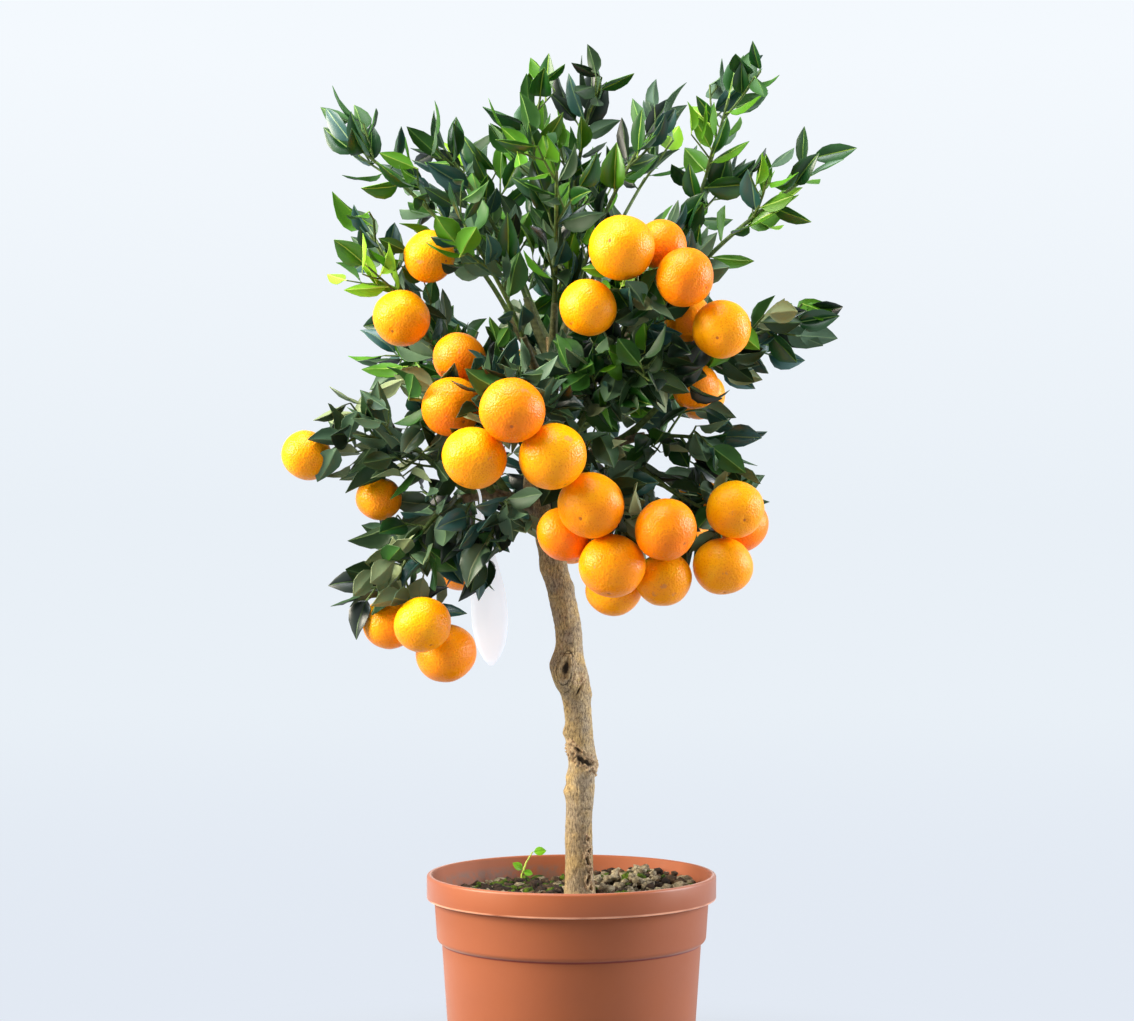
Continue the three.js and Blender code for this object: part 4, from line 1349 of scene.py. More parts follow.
@dataclass(frozen=True)
class Scar:
    """A mark where a branch was cut: a hollow inside a raised lip, tilted by lean degrees."""

    height: float
    side: float
    width: float
    tall: float
    depth: float
    lip: float
    lean: float = 0
    raw: float = 0
    rings: float = 0
    lip_ring = (1.5, 0.45)
    outer_rings = ((2.4, 0.5), (3.4, 0.35))
    ring_width = 0.32
    grooves = ((2.05, 0.6), (2.9, 0.5))
    groove_width = 0.16
    raw_ring = (1.6, 0.8)
    raggedness = 0.7
    ragged_reach = 6
    ragged_waves = 0.4

    def distance(self, azimuth: Array, height: Array, trunk_radius: float) -> Array:
        """Return how far each place is from the scar's middle, where 1 is the scar's edge."""
        around = (azimuth - math.radians(self.side) + math.pi) % FULL_TURN - math.pi
        arc = around * trunk_radius
        rise = height - self.height
        lean = math.radians(self.lean)
        across = arc * math.cos(lean) + rise * math.sin(lean)
        along = rise * math.cos(lean) - arc * math.sin(lean)
        distance = np.sqrt((across / self.width) ** 2 + (along / self.tall) ** 2)
        for i in np.nonzero(distance < self.ragged_reach)[0] if self.raw else ():
            ragged = noise.noise(Vector((arc[i] * self.ragged_waves, 3, height[i] * self.ragged_waves)))
            distance[i] *= 1 + self.raggedness * self.raw * ragged
        return distance

    def carve(self, radius: Array, distance: Array) -> Array:
        """Sink the hollow in the trunk's radius, and raise the lip and the rings round it."""
        ripple = bell(distance, *self.lip_ring)
        for ring, size in self.outer_rings:
            ripple = ripple + self.rings * size * bell(distance, ring, self.ring_width)
        return radius - self.depth * np.exp(-(distance**2) * 1.1) + self.lip * ripple

    def paint_hollow_shade(self, hollow: Array, distance: Array) -> Array:
        """Mark painted shade in the hollow, darker the deeper it is, and in the grooves between its rings,
        where it is darker than what is marked.
        """
        hollow = np.maximum(hollow, np.exp(-(distance**2) * 1.2) * min(1, self.depth / 2.2))
        for ring, size in self.grooves:
            hollow = np.maximum(hollow, size * self.rings * bell(distance, ring, self.groove_width))
        return hollow


@dataclass
class Trunk:
    """The trunk: a leaning line, its taper, the knots that swell it and the scars on it."""

    line: tuple[Triple, ...] = (
        (7, 0, 188.35), (6, 0, 250), (8, 0, 300), (4.5, 0, 350), (-1, 0, 385), (-3, 0, 415), (-13, 0, 460),
        (-20, 0, 490), (-30, 1, 525), (-27, 4, 570), (-17, 5, 620), (-15, 5, 655),
    )
    foot_radius: float = 11.3
    top_radius: float = 6
    flare: float = 3.2
    flare_height: float = 12
    grain_radius: float = 11
    lump_waves: tuple[float, ...] = (0.09, 0.045)
    lump_height: float = 0.9
    crack_waves: tuple[float, ...] = (0.62, 0.11)
    crack_width: float = 0.35
    fine_waves: tuple[float, ...] = (1.5, 0.32, 7)
    fine_height: float = 0.28
    sides: int = 112
    steps: int = 460
    knots: tuple[tuple[float, float, float, float], ...] = (
        (384, 205, 6.2, 10), (369, 205, 4.4, 9), (370, 0, 2.5, 13), (378, 262, 1.8, 8), (303, -10, 2.4, 9),
        (328, 180, 2.4, 5), (290, 185, 1.6, 5), (357, 5, 1.6, 5), (466, 170, 2, 8), (277, 182, 2.2, 4.5),
        (446, 5, 1.4, 5),
    )
    scars: tuple[Scar, ...] = (
        Scar(381, 253, 2.1, 7.2, 4.8, 1.3, -12, 0.12, 1.2),
        Scar(393, 264, 11, 0.8, 1.2, 0.1, -4),
        Scar(304, 280, 2.4, 10.5, 3.0, 2.2, 62, 1),
        Scar(313, 262, 1.4, 6, 1.8, 1.5, 50, 1),
        Scar(245, 237, 1.9, 2.4, 1.1, 0.6, 0, 0, 0.6),
        Scar(371, 292, 2.6, 2.0, -0.9, 0.9, 30, 0.9),
        Scar(362, 285, 1.0, 7.5, 1.6, 0.4, -34),
        Scar(264, 312, 5.0, 1.0, 1.3, 0.3, 8),
        Scar(238, 314, 1.2, 2.6, 1.5, 0.9, 20, 0.9),
        Scar(229, 318, 1.6, 2.2, 1.7, 1.2, -30, 1),
        Scar(221, 308, 1.3, 4.2, 1.8, 0.9, 14, 0.9),
        Scar(214, 319, 1.1, 2.0, 1.6, 1.2, -12, 1),
        Scar(205, 309, 1.6, 3.2, 1.8, 1.0, -16, 1),
        Scar(198, 318, 1.4, 2.4, 1.6, 1.2, 24, 0.9),
    )
    curve: Curve = field(init=False)

    def __post_init__(self) -> None:
        """Draw the centre line."""
        self.curve = Spline(self.line)

    def base_radius(self, azimuth: Array, height: Array) -> Array:
        """Return the trunk's radius from its taper, flare and knots."""
        foot, top = self.line[0][2], self.line[-1][2]
        risen = (height - foot) / (top - foot)
        radius = self.foot_radius + (self.top_radius - self.foot_radius) * risen**4
        radius = radius + self.flare * np.exp(-(height - foot) / self.flare_height)
        for level, side, swell, spread in self.knots:
            facing = np.maximum(0, np.cos(azimuth - math.radians(side)))
            radius = radius + swell * bell(height, level, spread) * facing
        return radius

    def radius_towards(self, azimuth: float, height: float) -> float:
        """Return the radius without relief on one side, at one height."""
        return self.base_radius(np.array([azimuth]), np.array([height]))[0]

    def grain(self, places: Array, around: float, along: float, shift: float = 0) -> Array:
        """Return a noise value for each place, in waves that are longer up the trunk than round it."""
        waves = places * (around, around, along) + (0, 0, shift)
        return np.array([noise.noise(Vector(wave)) for wave in waves])

    def radius_at(self, share: Array, azimuth: Array, height: Array) -> Array:
        """Return the radius with the bark's relief."""
        x, y = np.cos(azimuth) * self.grain_radius, np.sin(azimuth) * self.grain_radius
        places = np.stack((x, y, height), axis=1)
        lumps = self.grain(places, *self.lump_waves) * self.lump_height
        cracks = np.maximum(0, self.crack_width - np.abs(self.grain(places, *self.crack_waves)))
        fine = self.grain(places, *self.fine_waves) * self.fine_height
        radius = self.base_radius(azimuth, height) + lumps - cracks + fine
        for scar in self.scars:
            radius = scar.carve(radius, scar.distance(azimuth, height, self.foot_radius))
        return radius

    def build(self, finishes: Finishes) -> None:
        """Make the trunk and mark its raw wood, and the painted shade in its scars' hollows, for the bark
        finish.
        """
        bm = rolled_tube(self.curve, self.radius_at, self.sides, self.steps)
        places = np.array([vertex.co[:] for vertex in bm.verts]) / MM
        middles = np.array([point[:] for point in self.curve.spaced(200)])
        nearest = middles[np.abs(places[:, None, 2] - middles[None, :, 2]).argmin(axis=1)]
        azimuth = np.arctan2(places[:, 1] - nearest[:, 1], places[:, 0] - nearest[:, 0])
        hollow = np.zeros(len(places))
        raw = np.zeros(len(places))
        for scar in self.scars:
            distance = scar.distance(azimuth, places[:, 2], self.foot_radius)
            hollow = scar.paint_hollow_shade(hollow, distance)
            raw = np.maximum(raw, scar.raw * bell(distance, *scar.raw_ring))
        piece = add_object("trunk_bark", bm, [finishes.bark])
        mark(piece, "hollow", hollow)
        mark(piece, "raw", raw)
        dress(piece, ["trunk"])


@dataclass
class Limb:
    """A bough: its line and its radius at root and tip."""

    curve: Curve
    root_radius: float
    tip_radius: float
    ring_height = 0.22
    ring_spacing = 2.1
    collar_share = 0.25
    collar_length = 14
    ridge_height = 0.18
    green_radius = 2.6
    browning = 3.5

    def radius(self, share: float) -> float:
        """Return the radius a share of the way along."""
        return mix(self.root_radius, self.tip_radius, share)

    def radius_at(self, share: Array, azimuth: Array, height: Array) -> Array:
        """Return the radius with the rings that leaf scars leave, a collar at the fork and faint ridges."""
        along = share * self.curve.length
        waves = np.sin(along / self.ring_spacing + np.sin(azimuth) * 0.7)
        rings = self.ring_height * np.maximum(0, waves) ** 6
        collar = self.collar_share * self.root_radius * bell(along, 0, self.collar_length)
        return self.radius(share) + rings + collar + self.ridge_height * np.sin(azimuth * 3 + share * 9)

    def woodiness(self) -> float:
        """Return how brown the bark is, from 0 for green to 1 for brown."""
        return min(1, max(0, (self.root_radius - self.green_radius) / self.browning))


class LeafForms:
    """The few shapes that all leaves are cut from, of unit length, with faces marked by side."""

    count = 8
    slender = 3
    slender_share = 0.75
    outline = (
        (0, 0.017), (0.11, 0.019), (0.2, 0.14), (0.33, 0.24), (0.5, 0.27), (0.69, 0.232), (0.86, 0.122),
        (1, 0.004),
    )
    columns = 5
    rib = 0.011
    thickness = 0.011
    breadths = (0.7, 0.82, 0.74, 1.0, 0.9, 1.06, 0.96, 1.0)
    folds = (0.3, 0.6, 0.42, 0.22, 0.7, 0.36, 0.85, 0.5)
    domes = (0.5, 0.9, 0.7, 0.8, 1.2, 0.9, 1.3, 0.8)
    droops = (0.02, 0.18, 0.32, 0.06, 0.14, 0.38, 0.26, -0.14)
    twists = (0.2, -0.3, 0.35, 0.2, -0.25, 0.4, 0.1, -0.45)
    waviness = 0.05
    half_way = 0.55

    def __init__(self) -> None:
        """Cut every form."""
        self.meshes = [self.cut(i) for i in range(self.count)]
        self.sides = [np.array([polygon.material_index for polygon in mesh.polygons]) for mesh in self.meshes]

    @classmethod
    def choose(cls, habit: Habit, chance: float) -> int:
        """Return a form for a leaf: most on upright boughs are slender, and all others are broad."""
        if habit is Habit.UPRIGHT and chance < cls.slender_share:
            return int(chance / cls.slender_share * cls.slender)
        return cls.slender + int(chance * (cls.count - cls.slender))

    def cut(self, number: int) -> Mesh:
        """Cut one form from a flat sheet of petiole, midrib and two halves, then bend it to shape."""
        rows = len(self.outline) - 1
        bm = bmesh.new()
        bmesh.ops.create_grid(bm, x_segments=self.columns, y_segments=rows, size=0.5)
        bmesh.ops.solidify(bm, geom=list(bm.faces), thickness=self.thickness)
        bmesh.ops.recalc_face_normals(bm, faces=bm.faces)
        zones: list[tuple[int, int]] = []
        for face in bm.faces:
            middle = face.calc_center_median()
            column = round(middle.x * self.columns)
            zones.append((round(face.normal.z), (column > 0) - (column < 0)))
            stalk = middle.y < -0.5 + 1 / rows
            blade = Side.UPPER if face.normal.z > 0.5 else Side.UNDER
            face.material_index = (Side.RIB if stalk or column == 0 else blade).number
            face.smooth = True
        bm.faces.index_update()
        for edge in bm.edges:
            edge.smooth = len({zones[face.index] for face in edge.link_faces}) == 1
        for vertex in bm.verts:
            column = round((vertex.co.x + 0.5) * self.columns)
            vertex.co = self.bend(number, column, round((vertex.co.y + 0.5) * rows), vertex.co.z)
        mesh = bpy.data.meshes.new(f"leaf_form_{number}")
        bm.to_mesh(mesh)
        bm.free()
        return mesh

    def bend(self, number: int, column: int, row: int, height: float) -> Vector:
        """Return where a point of the flat sheet lies on a form.

        Args:
            number: The form's number.
            column: The point's column, from 0 at the left margin to 5 at the right.
            row: The point's row, from 0 at the petiole's foot.
            height: Its height over the sheet.

        Returns:
            The place for a leaf of unit length.
        """
        along, half = self.outline[row]
        if row > 1:
            half *= self.breadths[number]
        rib = min(self.rib, half * 0.6)
        inner = half * self.half_way
        side = (-half, -inner, -rib, rib, inner, half)[column]
        out = abs(side) - rib
        lift = self.folds[number] * out + self.domes[number] * out * (half - abs(side)) / half
        wave = self.waviness * half * math.sin(along * 11 + number * 2 + column)
        droop = self.droops[number] * along**2
        place = Vector((side, along, lift + wave - droop + height))
        return Matrix.Rotation(self.twists[number] * along, 3, "Y") @ place

    def stand(self, bm: BMesh, leaf: Leaf) -> None:
        """Copy a form into a bmesh at the leaf's place, in the leaf's colours."""
        mesh = self.meshes[leaf.form].copy()
        mesh.transform(leaf.matrix())
        first = leaf_colour(leaf.tone, Side.UPPER)
        mesh.polygons.foreach_set("material_index", self.sides[leaf.form] + first)
        bm.from_mesh(mesh)
        bpy.data.meshes.remove(mesh)

    def clear(self) -> None:
        """Remove the forms when every leaf is cut from them."""
        for mesh in self.meshes:
            bpy.data.meshes.remove(mesh)


def join_twigs(name: str, twigs: Iterable[Twig], finish: Material, sides: int) -> Object:
    """Join thin twigs to one mesh of tapering tubes.

    Args:
        name: The piece's name.
        twigs: The twigs to join.
        finish: The finish of their bark.
        sides: Faces round each tube, even and at least 4.

    Returns:
        The piece.
    """
    data = bpy.data.curves.new(name, "CURVE")
    data.dimensions = "3D"
    data.bevel_depth = MM
    data.bevel_resolution = (sides - 4) // 2
    data.use_fill_caps = True
    for twig in filter(lambda twig: twig.end, twigs):
        count = max(3, round(twig.curve.length / 12))
        spline = data.splines.new("POLY")
        spline.points.add(count)
        for i, point in enumerate(spline.points):
            share = i / count * twig.end
            point.co = (*(twig.curve.at(share) * MM), 1)
            point.radius = mix(twig.root_radius, twig.tip_radius, share)
    source = bpy.data.objects.new(name, data)
    mesh = bpy.data.meshes.new_from_object(source)
    mesh.materials.clear()
    mesh.materials.append(finish)
    bpy.data.objects.remove(source)
    bpy.data.curves.remove(data)
    mesh.name = name
    for polygon in mesh.polygons:
        polygon.use_smooth = True
    return link_object(name, mesh)


@dataclass(frozen=True)
class Opening:
    """A gap in the crown through which the sky shows: its place as seen from the front, and its radius."""

    x: float
    z: float
    radius: float
    depth: float = 200

    def line(self) -> tuple[Vector, Vector]:
        """Return the ends of the sight line that leaves and twigs keep clear of."""
        eye = Vector(Studio.eye)
        sight = Vector((self.x, 0, self.z)) - eye
        step = self.depth / -eye.y
        return eye + sight * (1 - step), eye + sight * (1 + step)


class Tree:
    """The whole plant: trunk, boughs, and the masses that grow on them."""

    openings = (
        Opening(-84, 684, 10), Opening(-68, 700, 7), Opening(-35, 687, 7), Opening(48, 768, 10),
        Opening(74, 768, 12), Opening(140, 686, 12), Opening(-52, 462, 15), Opening(-36, 474, 10),
        Opening(-143, 603, 7), Opening(152, 556, 12), Opening(77, 549, 5), Opening(45, 574, 5),
        Opening(76, 526, 7),
    )
    trunk_room = (13, 7)
    label_room = 7
    root_share = 0.6
    tip_share = 0.62
    thinnest = 3.0
    onward = 0.4
    bough_sides = 20
    bough_steps = 40
    stalk_radii = (1.2, 1.7)

    def __init__(self, trunk: Trunk) -> None:
        """Lay out every bough and the stem of every mass."""
        self.trunk = trunk
        front, top = -math.pi / 2, trunk.line[-1][2]
        self.limbs = {"trunk": Limb(trunk.curve, trunk.foot_radius, trunk.radius_towards(front, top))}
        waiting = [branch for branch in BRANCHES if branch.joint]
        while waiting:
            branch = next(branch for branch in waiting if branch.parent in self.limbs)
            waiting.remove(branch)
            self.limbs[branch.name] = self.grow_bough(branch)
        self.masses = [self.start_mass(index, branch) for index, branch in enumerate(BRANCHES)]

    def grow_bough(self, branch: Branch) -> Limb:
        """Grow a bough from its parent's centre line."""
        parent = self.limbs[branch.parent]
        start = parent.curve.at(branch.at)
        if branch.parent == "trunk":
            parent_radius = self.trunk.radius_towards(math.pi / 2, start.z)
        else:
            parent_radius = parent.radius(branch.at)
        root_radius = max(self.thinnest, self.root_share * parent_radius)
        curve = bowed(start, Vector(branch.joint), branch.habit.value.bow)
        return Limb(curve, root_radius, max(Mass.stem_radii[0], self.tip_share * root_radius))

    def start_mass(self, index: int, branch: Branch) -> Mass:
        """Let a stem go on from its bough's tip, or from the trunk's, in the same direction."""
        limb = self.limbs[branch.name if branch.joint else "trunk"].curve
        onward = limb.tangent(1)
        start = limb.place(1) + onward * GAP
        tip = Vector(branch.tip)
        bend = start + onward * (self.onward * (tip - start).length)
        return Mass(branch, index, Bend(start, bend, tip), limb if branch.joint else None)

    def plan(self) -> None:
        """Plan fruit, twigs and leaves for every mass, each kind in turn."""
        obstacles = Obstacles()
        obstacles.add_curve(self.trunk.curve, self.trunk_room, EVERYBODY, 24)
        obstacles.add(Vector(Label.top), Vector(Label.foot), self.label_room, EVERYBODY)
        for opening in self.openings:
            obstacles.add(*opening.line(), opening.radius, EVERYBODY)
        for name, limb in self.limbs.items():
            if name != "trunk":
                obstacles.add_curve(limb.curve, (limb.root_radius, limb.tip_radius), EVERYBODY)
        for mass in self.masses:
            obstacles.add_curve(mass.stem, mass.stem_radii, mass.index)
        reaches = np.array([mass.branch.reach for mass in self.masses])
        room = Room(obstacles, Territory([mass.stem for mass in self.masses], reaches), Midribs())
        for step in (Mass.plan_fruit, Mass.plant_more, Mass.plan_twigs, Mass.plan_leaves):
            for mass in self.masses:
                step(mass, room)
        leaves = sum(len(mass.leaves) for mass in self.masses)
        twigs = sum(len(mass.twigs) for mass in self.masses)
        logger.info("planned %d leaves on %d twigs, %d capsules", leaves, twigs, obstacles.count)

    def build(self, finishes: Finishes) -> None:
        """Make every piece of the plant."""
        self.trunk.build(finishes)
        self.build_boughs(finishes)
        self.build_twigs(finishes)
        self.build_leaves(finishes)
        self.build_fruit(finishes)

    def build_boughs(self, finishes: Finishes) -> None:
        """Make the boughs, browner towards the trunk."""
        joined = bmesh.new()
        woody: list[float] = []
        boughs = {name: limb for name, limb in self.limbs.items() if name != "trunk"}
        for limb in boughs.values():
            tube = rolled_tube(limb.curve, limb.radius_at, self.bough_sides, self.bough_steps)
            woody += [limb.woodiness()] * len(tube.verts)
            join(joined, tube)
        piece = add_object("bough_bark", joined, [finishes.green_bark])
        mark(piece, "woody", woody)
        dress(piece, [f"bough_{name}" for name in boughs])

    def build_twigs(self, finishes: Finishes) -> None:
        """Join the stems and twigs, and apart from them the fruit stalks."""
        twigs = [twig for mass in self.masses for twig in mass.twigs]
        nodes = [mass.node for mass in self.masses]
        dress(join_twigs("twigs", twigs, finishes.green_bark, 6), nodes)
        curves = [stalk for mass in self.masses for stalk in mass.stalks]
        stalks = [Twig(curve, *self.stalk_radii, 0, Tone.GREEN, 1) for curve in curves]
        bearing = [mass.node for mass in self.masses if mass.stalks]
        dress(join_twigs("fruit_stalks", stalks, finishes.green_bark, 8), bearing)

    def build_leaves(self, finishes: Finishes) -> None:
        """Join the leaves of each region of the crown."""
        forms = LeafForms()
        for region in Region:
            masses = [mass for mass in self.masses if Region.of(mass.branch) is region]
            bm = bmesh.new()
            for mass in masses:
                for leaf in mass.leaves:
                    forms.stand(bm, leaf)
            piece = add_object(f"leaves_{region.value}", bm, finishes.leaves, smooth=False)
            dress(piece, [mass.node for mass in masses])
        forms.clear()

    def build_fruit(self, finishes: Finishes) -> None:
        """Join the fruit, and apart from it the calyx of each."""
        rinds = bmesh.new()
        stars = bmesh.new()
        marks: dict[str, list[float]] = {"ripe": [], "dot": []}
        for mass in self.masses:
            for fruit in mass.fruit:
                join(rinds, fruit.shape(marks))
                join(stars, fruit.shape_calyx())
        bearing = [mass.node for mass in self.masses if mass.fruit]
        piece = add_object("fruit", rinds, finishes.rinds)
        for name, values in marks.items():
            mark(piece, name, values)
        dress(piece, bearing)
        dress(add_object("calyxes", stars, [finishes.calyx]), bearing)


@dataclass
class Pot:
    """The moulded pot: a rolled rim, a collar with a step under it, and a foot with drain holes."""

    height: float = 210
    rim_radius: float = 120
    rim_height: float = 20
    rim_wall: float = 4.5
    collar_radius: float = 113.8
    collar_foot_radius: float = 111.5
    step_top: float = 156
    step_foot: float = 153.5
    step_depth: float = 4
    base_radius: float = 97
    wall: float = 2.2
    floor: float = 3
    segments: int = 160
    drain_holes: int = 8
    drain_radius: float = 6
    drain_circle: float = 66
    crisp_angle: float = 0.6

    def profile(self) -> list[Triple]:
        """Return radius, height and rounding of each corner, from the foot's middle up and back inside."""
        step_radius = self.collar_foot_radius - self.step_depth
        rim_foot = self.height - self.rim_height
        return [
            (0, 0, 0),
            (self.base_radius, 0, 3),
            (step_radius, self.step_foot, 0.5),
            (self.collar_foot_radius, self.step_top, 2.2),
            (self.collar_radius, rim_foot, 0.8),
            (self.rim_radius, rim_foot, 1.2),
            (self.rim_radius, self.height, 2.2),
            (self.rim_radius - self.rim_wall, self.height, 1.8),
            (self.collar_radius - self.wall, rim_foot - 2, 2),
            (self.collar_foot_radius - self.wall, self.step_top, 1),
            (step_radius - self.wall, self.step_foot, 1),
            (self.base_radius - self.wall, self.floor, 2),
            (0, self.floor, 0),
        ]

    def build(self, finishes: Finishes) -> None:
        """Round the profile's corners, spin it, drill the drain holes, and dress it."""
        bm = bmesh.new()
        corners = self.profile()
        vertices = [bm.verts.new((radius * MM, 0, height * MM)) for radius, height, _ in corners]
        for first, second in zip(vertices, vertices[1:]):
            bm.edges.new((first, second))
        for vertex, (_, _, rounding) in zip(vertices, corners):
            if rounding:
                bmesh.ops.bevel(
                    bm, geom=[vertex], offset=rounding * MM, segments=4, profile=0.5, affect="VERTICES",
                    material=-1,
                )
        bmesh.ops.spin(
            bm, geom=bm.verts[:] + bm.edges[:], cent=(0, 0, 0), axis=(0, 0, 1), angle=FULL_TURN,
            steps=self.segments, use_merge=True,
        )
        bmesh.ops.remove_doubles(bm, verts=bm.verts, dist=MERGE)
        bmesh.ops.recalc_face_normals(bm, faces=bm.faces)
        piece = add_object("pot_body", bm, [finishes.plastic])
        drill = self.make_drill()
        cut = piece.modifiers.new("drain_holes", "BOOLEAN")
        cut.operation = "DIFFERENCE"
        cut.object = drill
        cut.solver = "EXACT"
        shape = piece.evaluated_get(bpy.context.evaluated_depsgraph_get())
        mesh = bpy.data.meshes.new_from_object(shape)
        piece.modifiers.clear()
        piece.data = mesh
        mesh.name = "pot_body"
        bpy.data.objects.remove(drill)
        self.sharpen(mesh)
        dress(piece, ["pot"])

    def make_drill(self) -> Object:
        """Make the ring of pins that cuts the drain holes."""
        bm = bmesh.new()
        radius = self.drain_radius * MM
        for i in range(self.drain_holes):
            angle = i / self.drain_holes * FULL_TURN
            centre = Vector((math.cos(angle), math.sin(angle), 0)) * self.drain_circle * MM
            bmesh.ops.create_cone(
                bm, cap_ends=True, segments=32, radius1=radius, radius2=radius, depth=4 * self.floor * MM,
                matrix=Matrix.Translation(centre),
            )
        return add_object("drill", bm, [])

    def sharpen(self, mesh: Mesh) -> None:
        """Keep the edges of the drain holes crisp and all else smooth."""
        bm = bmesh.new()
        bm.from_mesh(mesh)
        for face in bm.faces:
            face.smooth = True
        for edge in bm.edges:
            edge.smooth = len(edge.link_faces) != 2 or edge.calc_face_angle() < self.crisp_angle
        bm.to_mesh(mesh)
        bm.free()


@dataclass
class Soil:
    """The coarse soil in the pot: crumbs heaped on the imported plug, higher towards the right and back."""

    top: float = 188
    radius: float = 108
    count: int = 2300
    seed: int = 424
    trunk_foot: tuple[float, float] = (7, 0)
    trunk_room: float = 14.5
    smallest: float = 1.6
    largest: float = 5.2
    fineness: float = 1.4
    usual_share: float = 0.85
    lump_size: float = 1.3
    coarse_corner: tuple[float, float] = (12, 20)
    coarse_size: float = 1.15
    grey_corner: tuple[float, float] = (12, -10)
    heap_foot: float = 2
    heap_height: float = 13
    heap_starts: tuple[float, float] = (-6, -20)
    heap_spans: tuple[float, float] = (60, 70)
    sunk: float = 0.25
    unevenness: float = 0.75
    uneven_waves: float = 2.1
    grey_shares = ((Crumb.GREY, 0.52), (Crumb.MOSS, 0.64), (Crumb.BROWN, 0.84))
    mossy_shares = ((Crumb.GREY, 0.14), (Crumb.MOSS, 0.41), (Crumb.BROWN, 0.61))

    def build(self, finishes: Finishes) -> None:
        """Give the plug its finish and scatter the crumbs."""
        plug = frame["nodes"]["soil"]
        plug.data.materials.clear()
        plug.data.materials.append(finishes.soil)
        dice = Dice(self.seed)
        bm = bmesh.new()
        for _ in range(self.count):
            spread = self.radius * math.sqrt(dice.roll())
            azimuth = dice.roll() * FULL_TURN
            place = Vector((spread * math.cos(azimuth), spread * math.sin(azimuth), self.top))
            size = mix(self.smallest, self.largest, dice.roll() ** self.fineness)
            size *= 1 if dice.roll() < self.usual_share else self.lump_size
            size *= self.coarse_size if self.beyond(place, self.coarse_corner) else 1
            in_trunk = (place.xy - Vector(self.trunk_foot)).length < self.trunk_room + size
            if in_trunk or spread + size > self.radius:
                continue
            place.z += self.heap(place) * dice.roll() + size * self.sunk
            self.add_crumb(bm, place, size, dice)
        dress(add_object("soil_crumbs", bm, finishes.crumbs))

    def beyond(self, place: Vector, corner: tuple[float, float]) -> bool:
        """Say whether a place lies further right and further back than a corner."""
        return place.x > corner[0] and place.y > corner[1]

    def heap(self, place: Vector) -> float:
        """Return how high the crumbs are piled at a place."""
        slopes = zip(place.xy, self.heap_starts, self.heap_spans)
        right, back = (max(0, min(1, (value - start) / span)) for value, start, span in slopes)
        return self.heap_foot + self.heap_height * right * back

    def add_crumb(self, bm: BMesh, place: Vector, size: float, dice: Dice) -> None:
        """Add one uneven lump of soil."""
        offset = Vector((dice.roll(), dice.roll(), dice.roll())) * 50
        lump = bmesh.new()
        bmesh.ops.create_icosphere(lump, subdivisions=1, radius=1)
        for vertex in lump.verts:
            vertex.co *= 1 + self.unevenness * noise.noise(vertex.co * self.uneven_waves + offset)
        stretch = Matrix.Diagonal((size * dice.between(0.8, 1.3), size, size * dice.between(0.6, 0.95), 1))
        turn = Matrix.Rotation(dice.roll() * ANY_TURN, 4, "Z")
        tilt = Matrix.Rotation(dice.between(-0.6, 0.6), 4, "X")
        matrix = Matrix.Scale(MM, 4) @ Matrix.Translation(place) @ (turn @ tilt) @ stretch
        bmesh.ops.transform(lump, matrix=matrix, verts=lump.verts)
        chance = dice.roll()
        shares = self.grey_shares if self.beyond(place, self.grey_corner) else self.mossy_shares
        kind = next((crumb for crumb, share in shares if chance < share), Crumb.DARK)
        for face in lump.faces:
            face.material_index = list(Crumb).index(kind)
        join(bm, lump)


@dataclass
class Seedling:
    """The small green shoot that stands in the soil inside the rim."""

    foot: Triple = (-44, 80, 187)
    bend: Triple = (-43.5, 80, 203)
    tip: Triple = (-33.4, 80, 217)
    radii: tuple[float, float] = (1.0, 0.6)
    leaves: tuple[tuple[float, float, float, float], ...] = (
        (1, 0, 84, 12), (0.45, 3.14, 52, 11), (0.42, 0, 105, 9),
    )
    facing: Triple = (0, -0.75, 0.66)
    breadth: float = 1.35
    form: int = 3

    def build(self, finishes: Finishes) -> None:
        """Make its stalk, and its leaves by their share of the stalk, azimuth, spread and length."""
        stem = Bend(Vector(self.foot), Vector(self.bend), Vector(self.tip), 30)
        green = finishes.leaves[leaf_colour(Tone.BRIGHT, Side.RIB)]
        dress(join_twigs("seedling_stem", [Twig(stem, *self.radii, 0, Tone.BRIGHT, 1)], green, 8))
        forms = LeafForms()
        bm = bmesh.new()
        for share, azimuth, spread, length in self.leaves:
            leaf = Leaf(stem.at(share), UP, azimuth, math.radians(spread), length, 0, 0)
            leaf.face(Vector(self.facing), self.breadth)
            leaf.form = self.form
            forms.stand(bm, leaf)
        forms.clear()
        for face in bm.faces:
            face.material_index = 0
        dress(add_object("seedling_leaves", bm, [finishes.sprout], smooth=False))


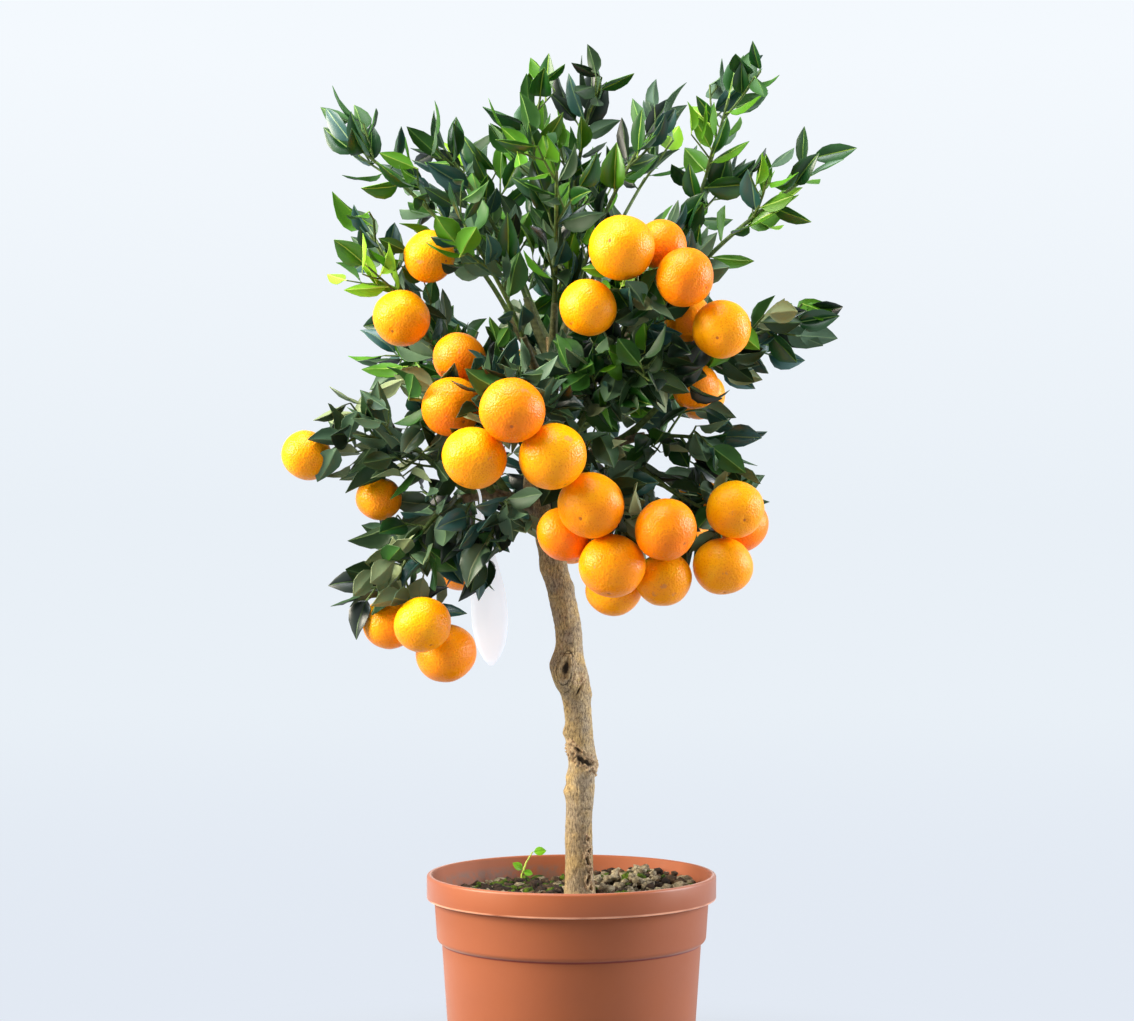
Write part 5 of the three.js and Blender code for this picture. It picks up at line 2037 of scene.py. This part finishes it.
@dataclass
class Label:
    """The plant label: a bare milky strip that hangs from a loop in the crown."""

    top: Triple = (-76, -12, 508)
    foot: Triple = (-66, -12, 383)
    width: float = 32
    thickness: float = 0.5
    turn: float = -16
    rows: int = 24
    columns: int = 6
    bow: float = 5
    cupping: float = 0.006
    outline = ((0, 0.29, 0.53, 0.72, 0.86, 0.95, 0.985, 1), (0.2, 0.62, 0.96, 1, 0.8, 0.45, 0.26, 0.1))
    bough = "left_low"
    loop_radius: float = 1.1
    loop_gap: float = 2.5
    loop_tail: float = 4

    def build(self, finishes: Finishes, tree: Tree) -> None:
        """Hang the strip from its loop."""
        dress(self.cut_strip(finishes))
        dress(self.bend_loop(finishes, tree.limbs[self.bough]))

    def bend_loop(self, finishes: Finishes, limb: Limb) -> Object:
        """Bend the loop that goes from the strip's top round a bough and back."""
        top = Vector(self.top)
        shares = [step / 100 for step in range(101)]
        share = min(shares, key=lambda share: (limb.curve.at(share) - top).length)
        centre, heading = limb.curve.at(share), limb.curve.heading(share)
        outward = (centre - top - heading * (centre - top).dot(heading)).normalized()
        side = heading.cross(outward)
        reach = limb.radius(share) + self.loop_gap
        under = top - outward * self.loop_tail
        round_bough = [centre - side * reach, centre + outward * reach, centre + side * reach]
        curve = Spline([under - side, *round_bough, under + side])
        tube = rolled_tube(curve, lambda share, azimuth, height: np.full(len(share), self.loop_radius), 8, 40)
        return add_object("plant_label_loop", tube, [finishes.label])

    def cut_strip(self, finishes: Finishes) -> Object:
        """Cut the strip with a pointed foot, bow it and turn it."""
        hang = Vector(self.top) - Vector(self.foot)
        bm = bmesh.new()
        bmesh.ops.create_grid(bm, x_segments=self.columns, y_segments=self.rows, size=0.5)
        for vertex in bm.verts:
            along = 0.5 - vertex.co.y
            side = vertex.co.x * self.width * np.interp(along, *self.outline)
            out = self.bow * math.sin(along * math.pi) + self.cupping * side**2
            vertex.co = (side, out, -along * hang.length)
        bmesh.ops.recalc_face_normals(bm, faces=bm.faces)
        bmesh.ops.solidify(bm, geom=list(bm.faces), thickness=self.thickness)
        bmesh.ops.recalc_face_normals(bm, faces=bm.faces)
        upward = hang.normalized()
        aside = Matrix.Rotation(math.radians(self.turn), 3, "Z") @ Vector((1, 0, 0))
        across = -aside.cross(upward).cross(upward).normalized()
        axes = Matrix((across, upward.cross(across), upward)).transposed().to_4x4()
        matrix = Matrix.Scale(MM, 4) @ Matrix.Translation(self.top) @ axes
        bmesh.ops.transform(bm, matrix=matrix, verts=bm.verts)
        return add_object("plant_label", bm, [finishes.label])


def main() -> None:
    """Build the studio, the pot, the soil and the tree in order."""
    logging.basicConfig(level=logging.INFO, format="%(name)s: %(message)s")
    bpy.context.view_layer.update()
    finishes = Finishes()
    Studio().set_up(finishes.floor)
    Pot().build(finishes)
    Soil().build(finishes)
    tree = Tree(Trunk())
    tree.plan()
    tree.build(finishes)
    Seedling().build(finishes)
    Label().build(finishes, tree)
    bpy.context.view_layer.update()


if __name__ == "__main__":
    main()
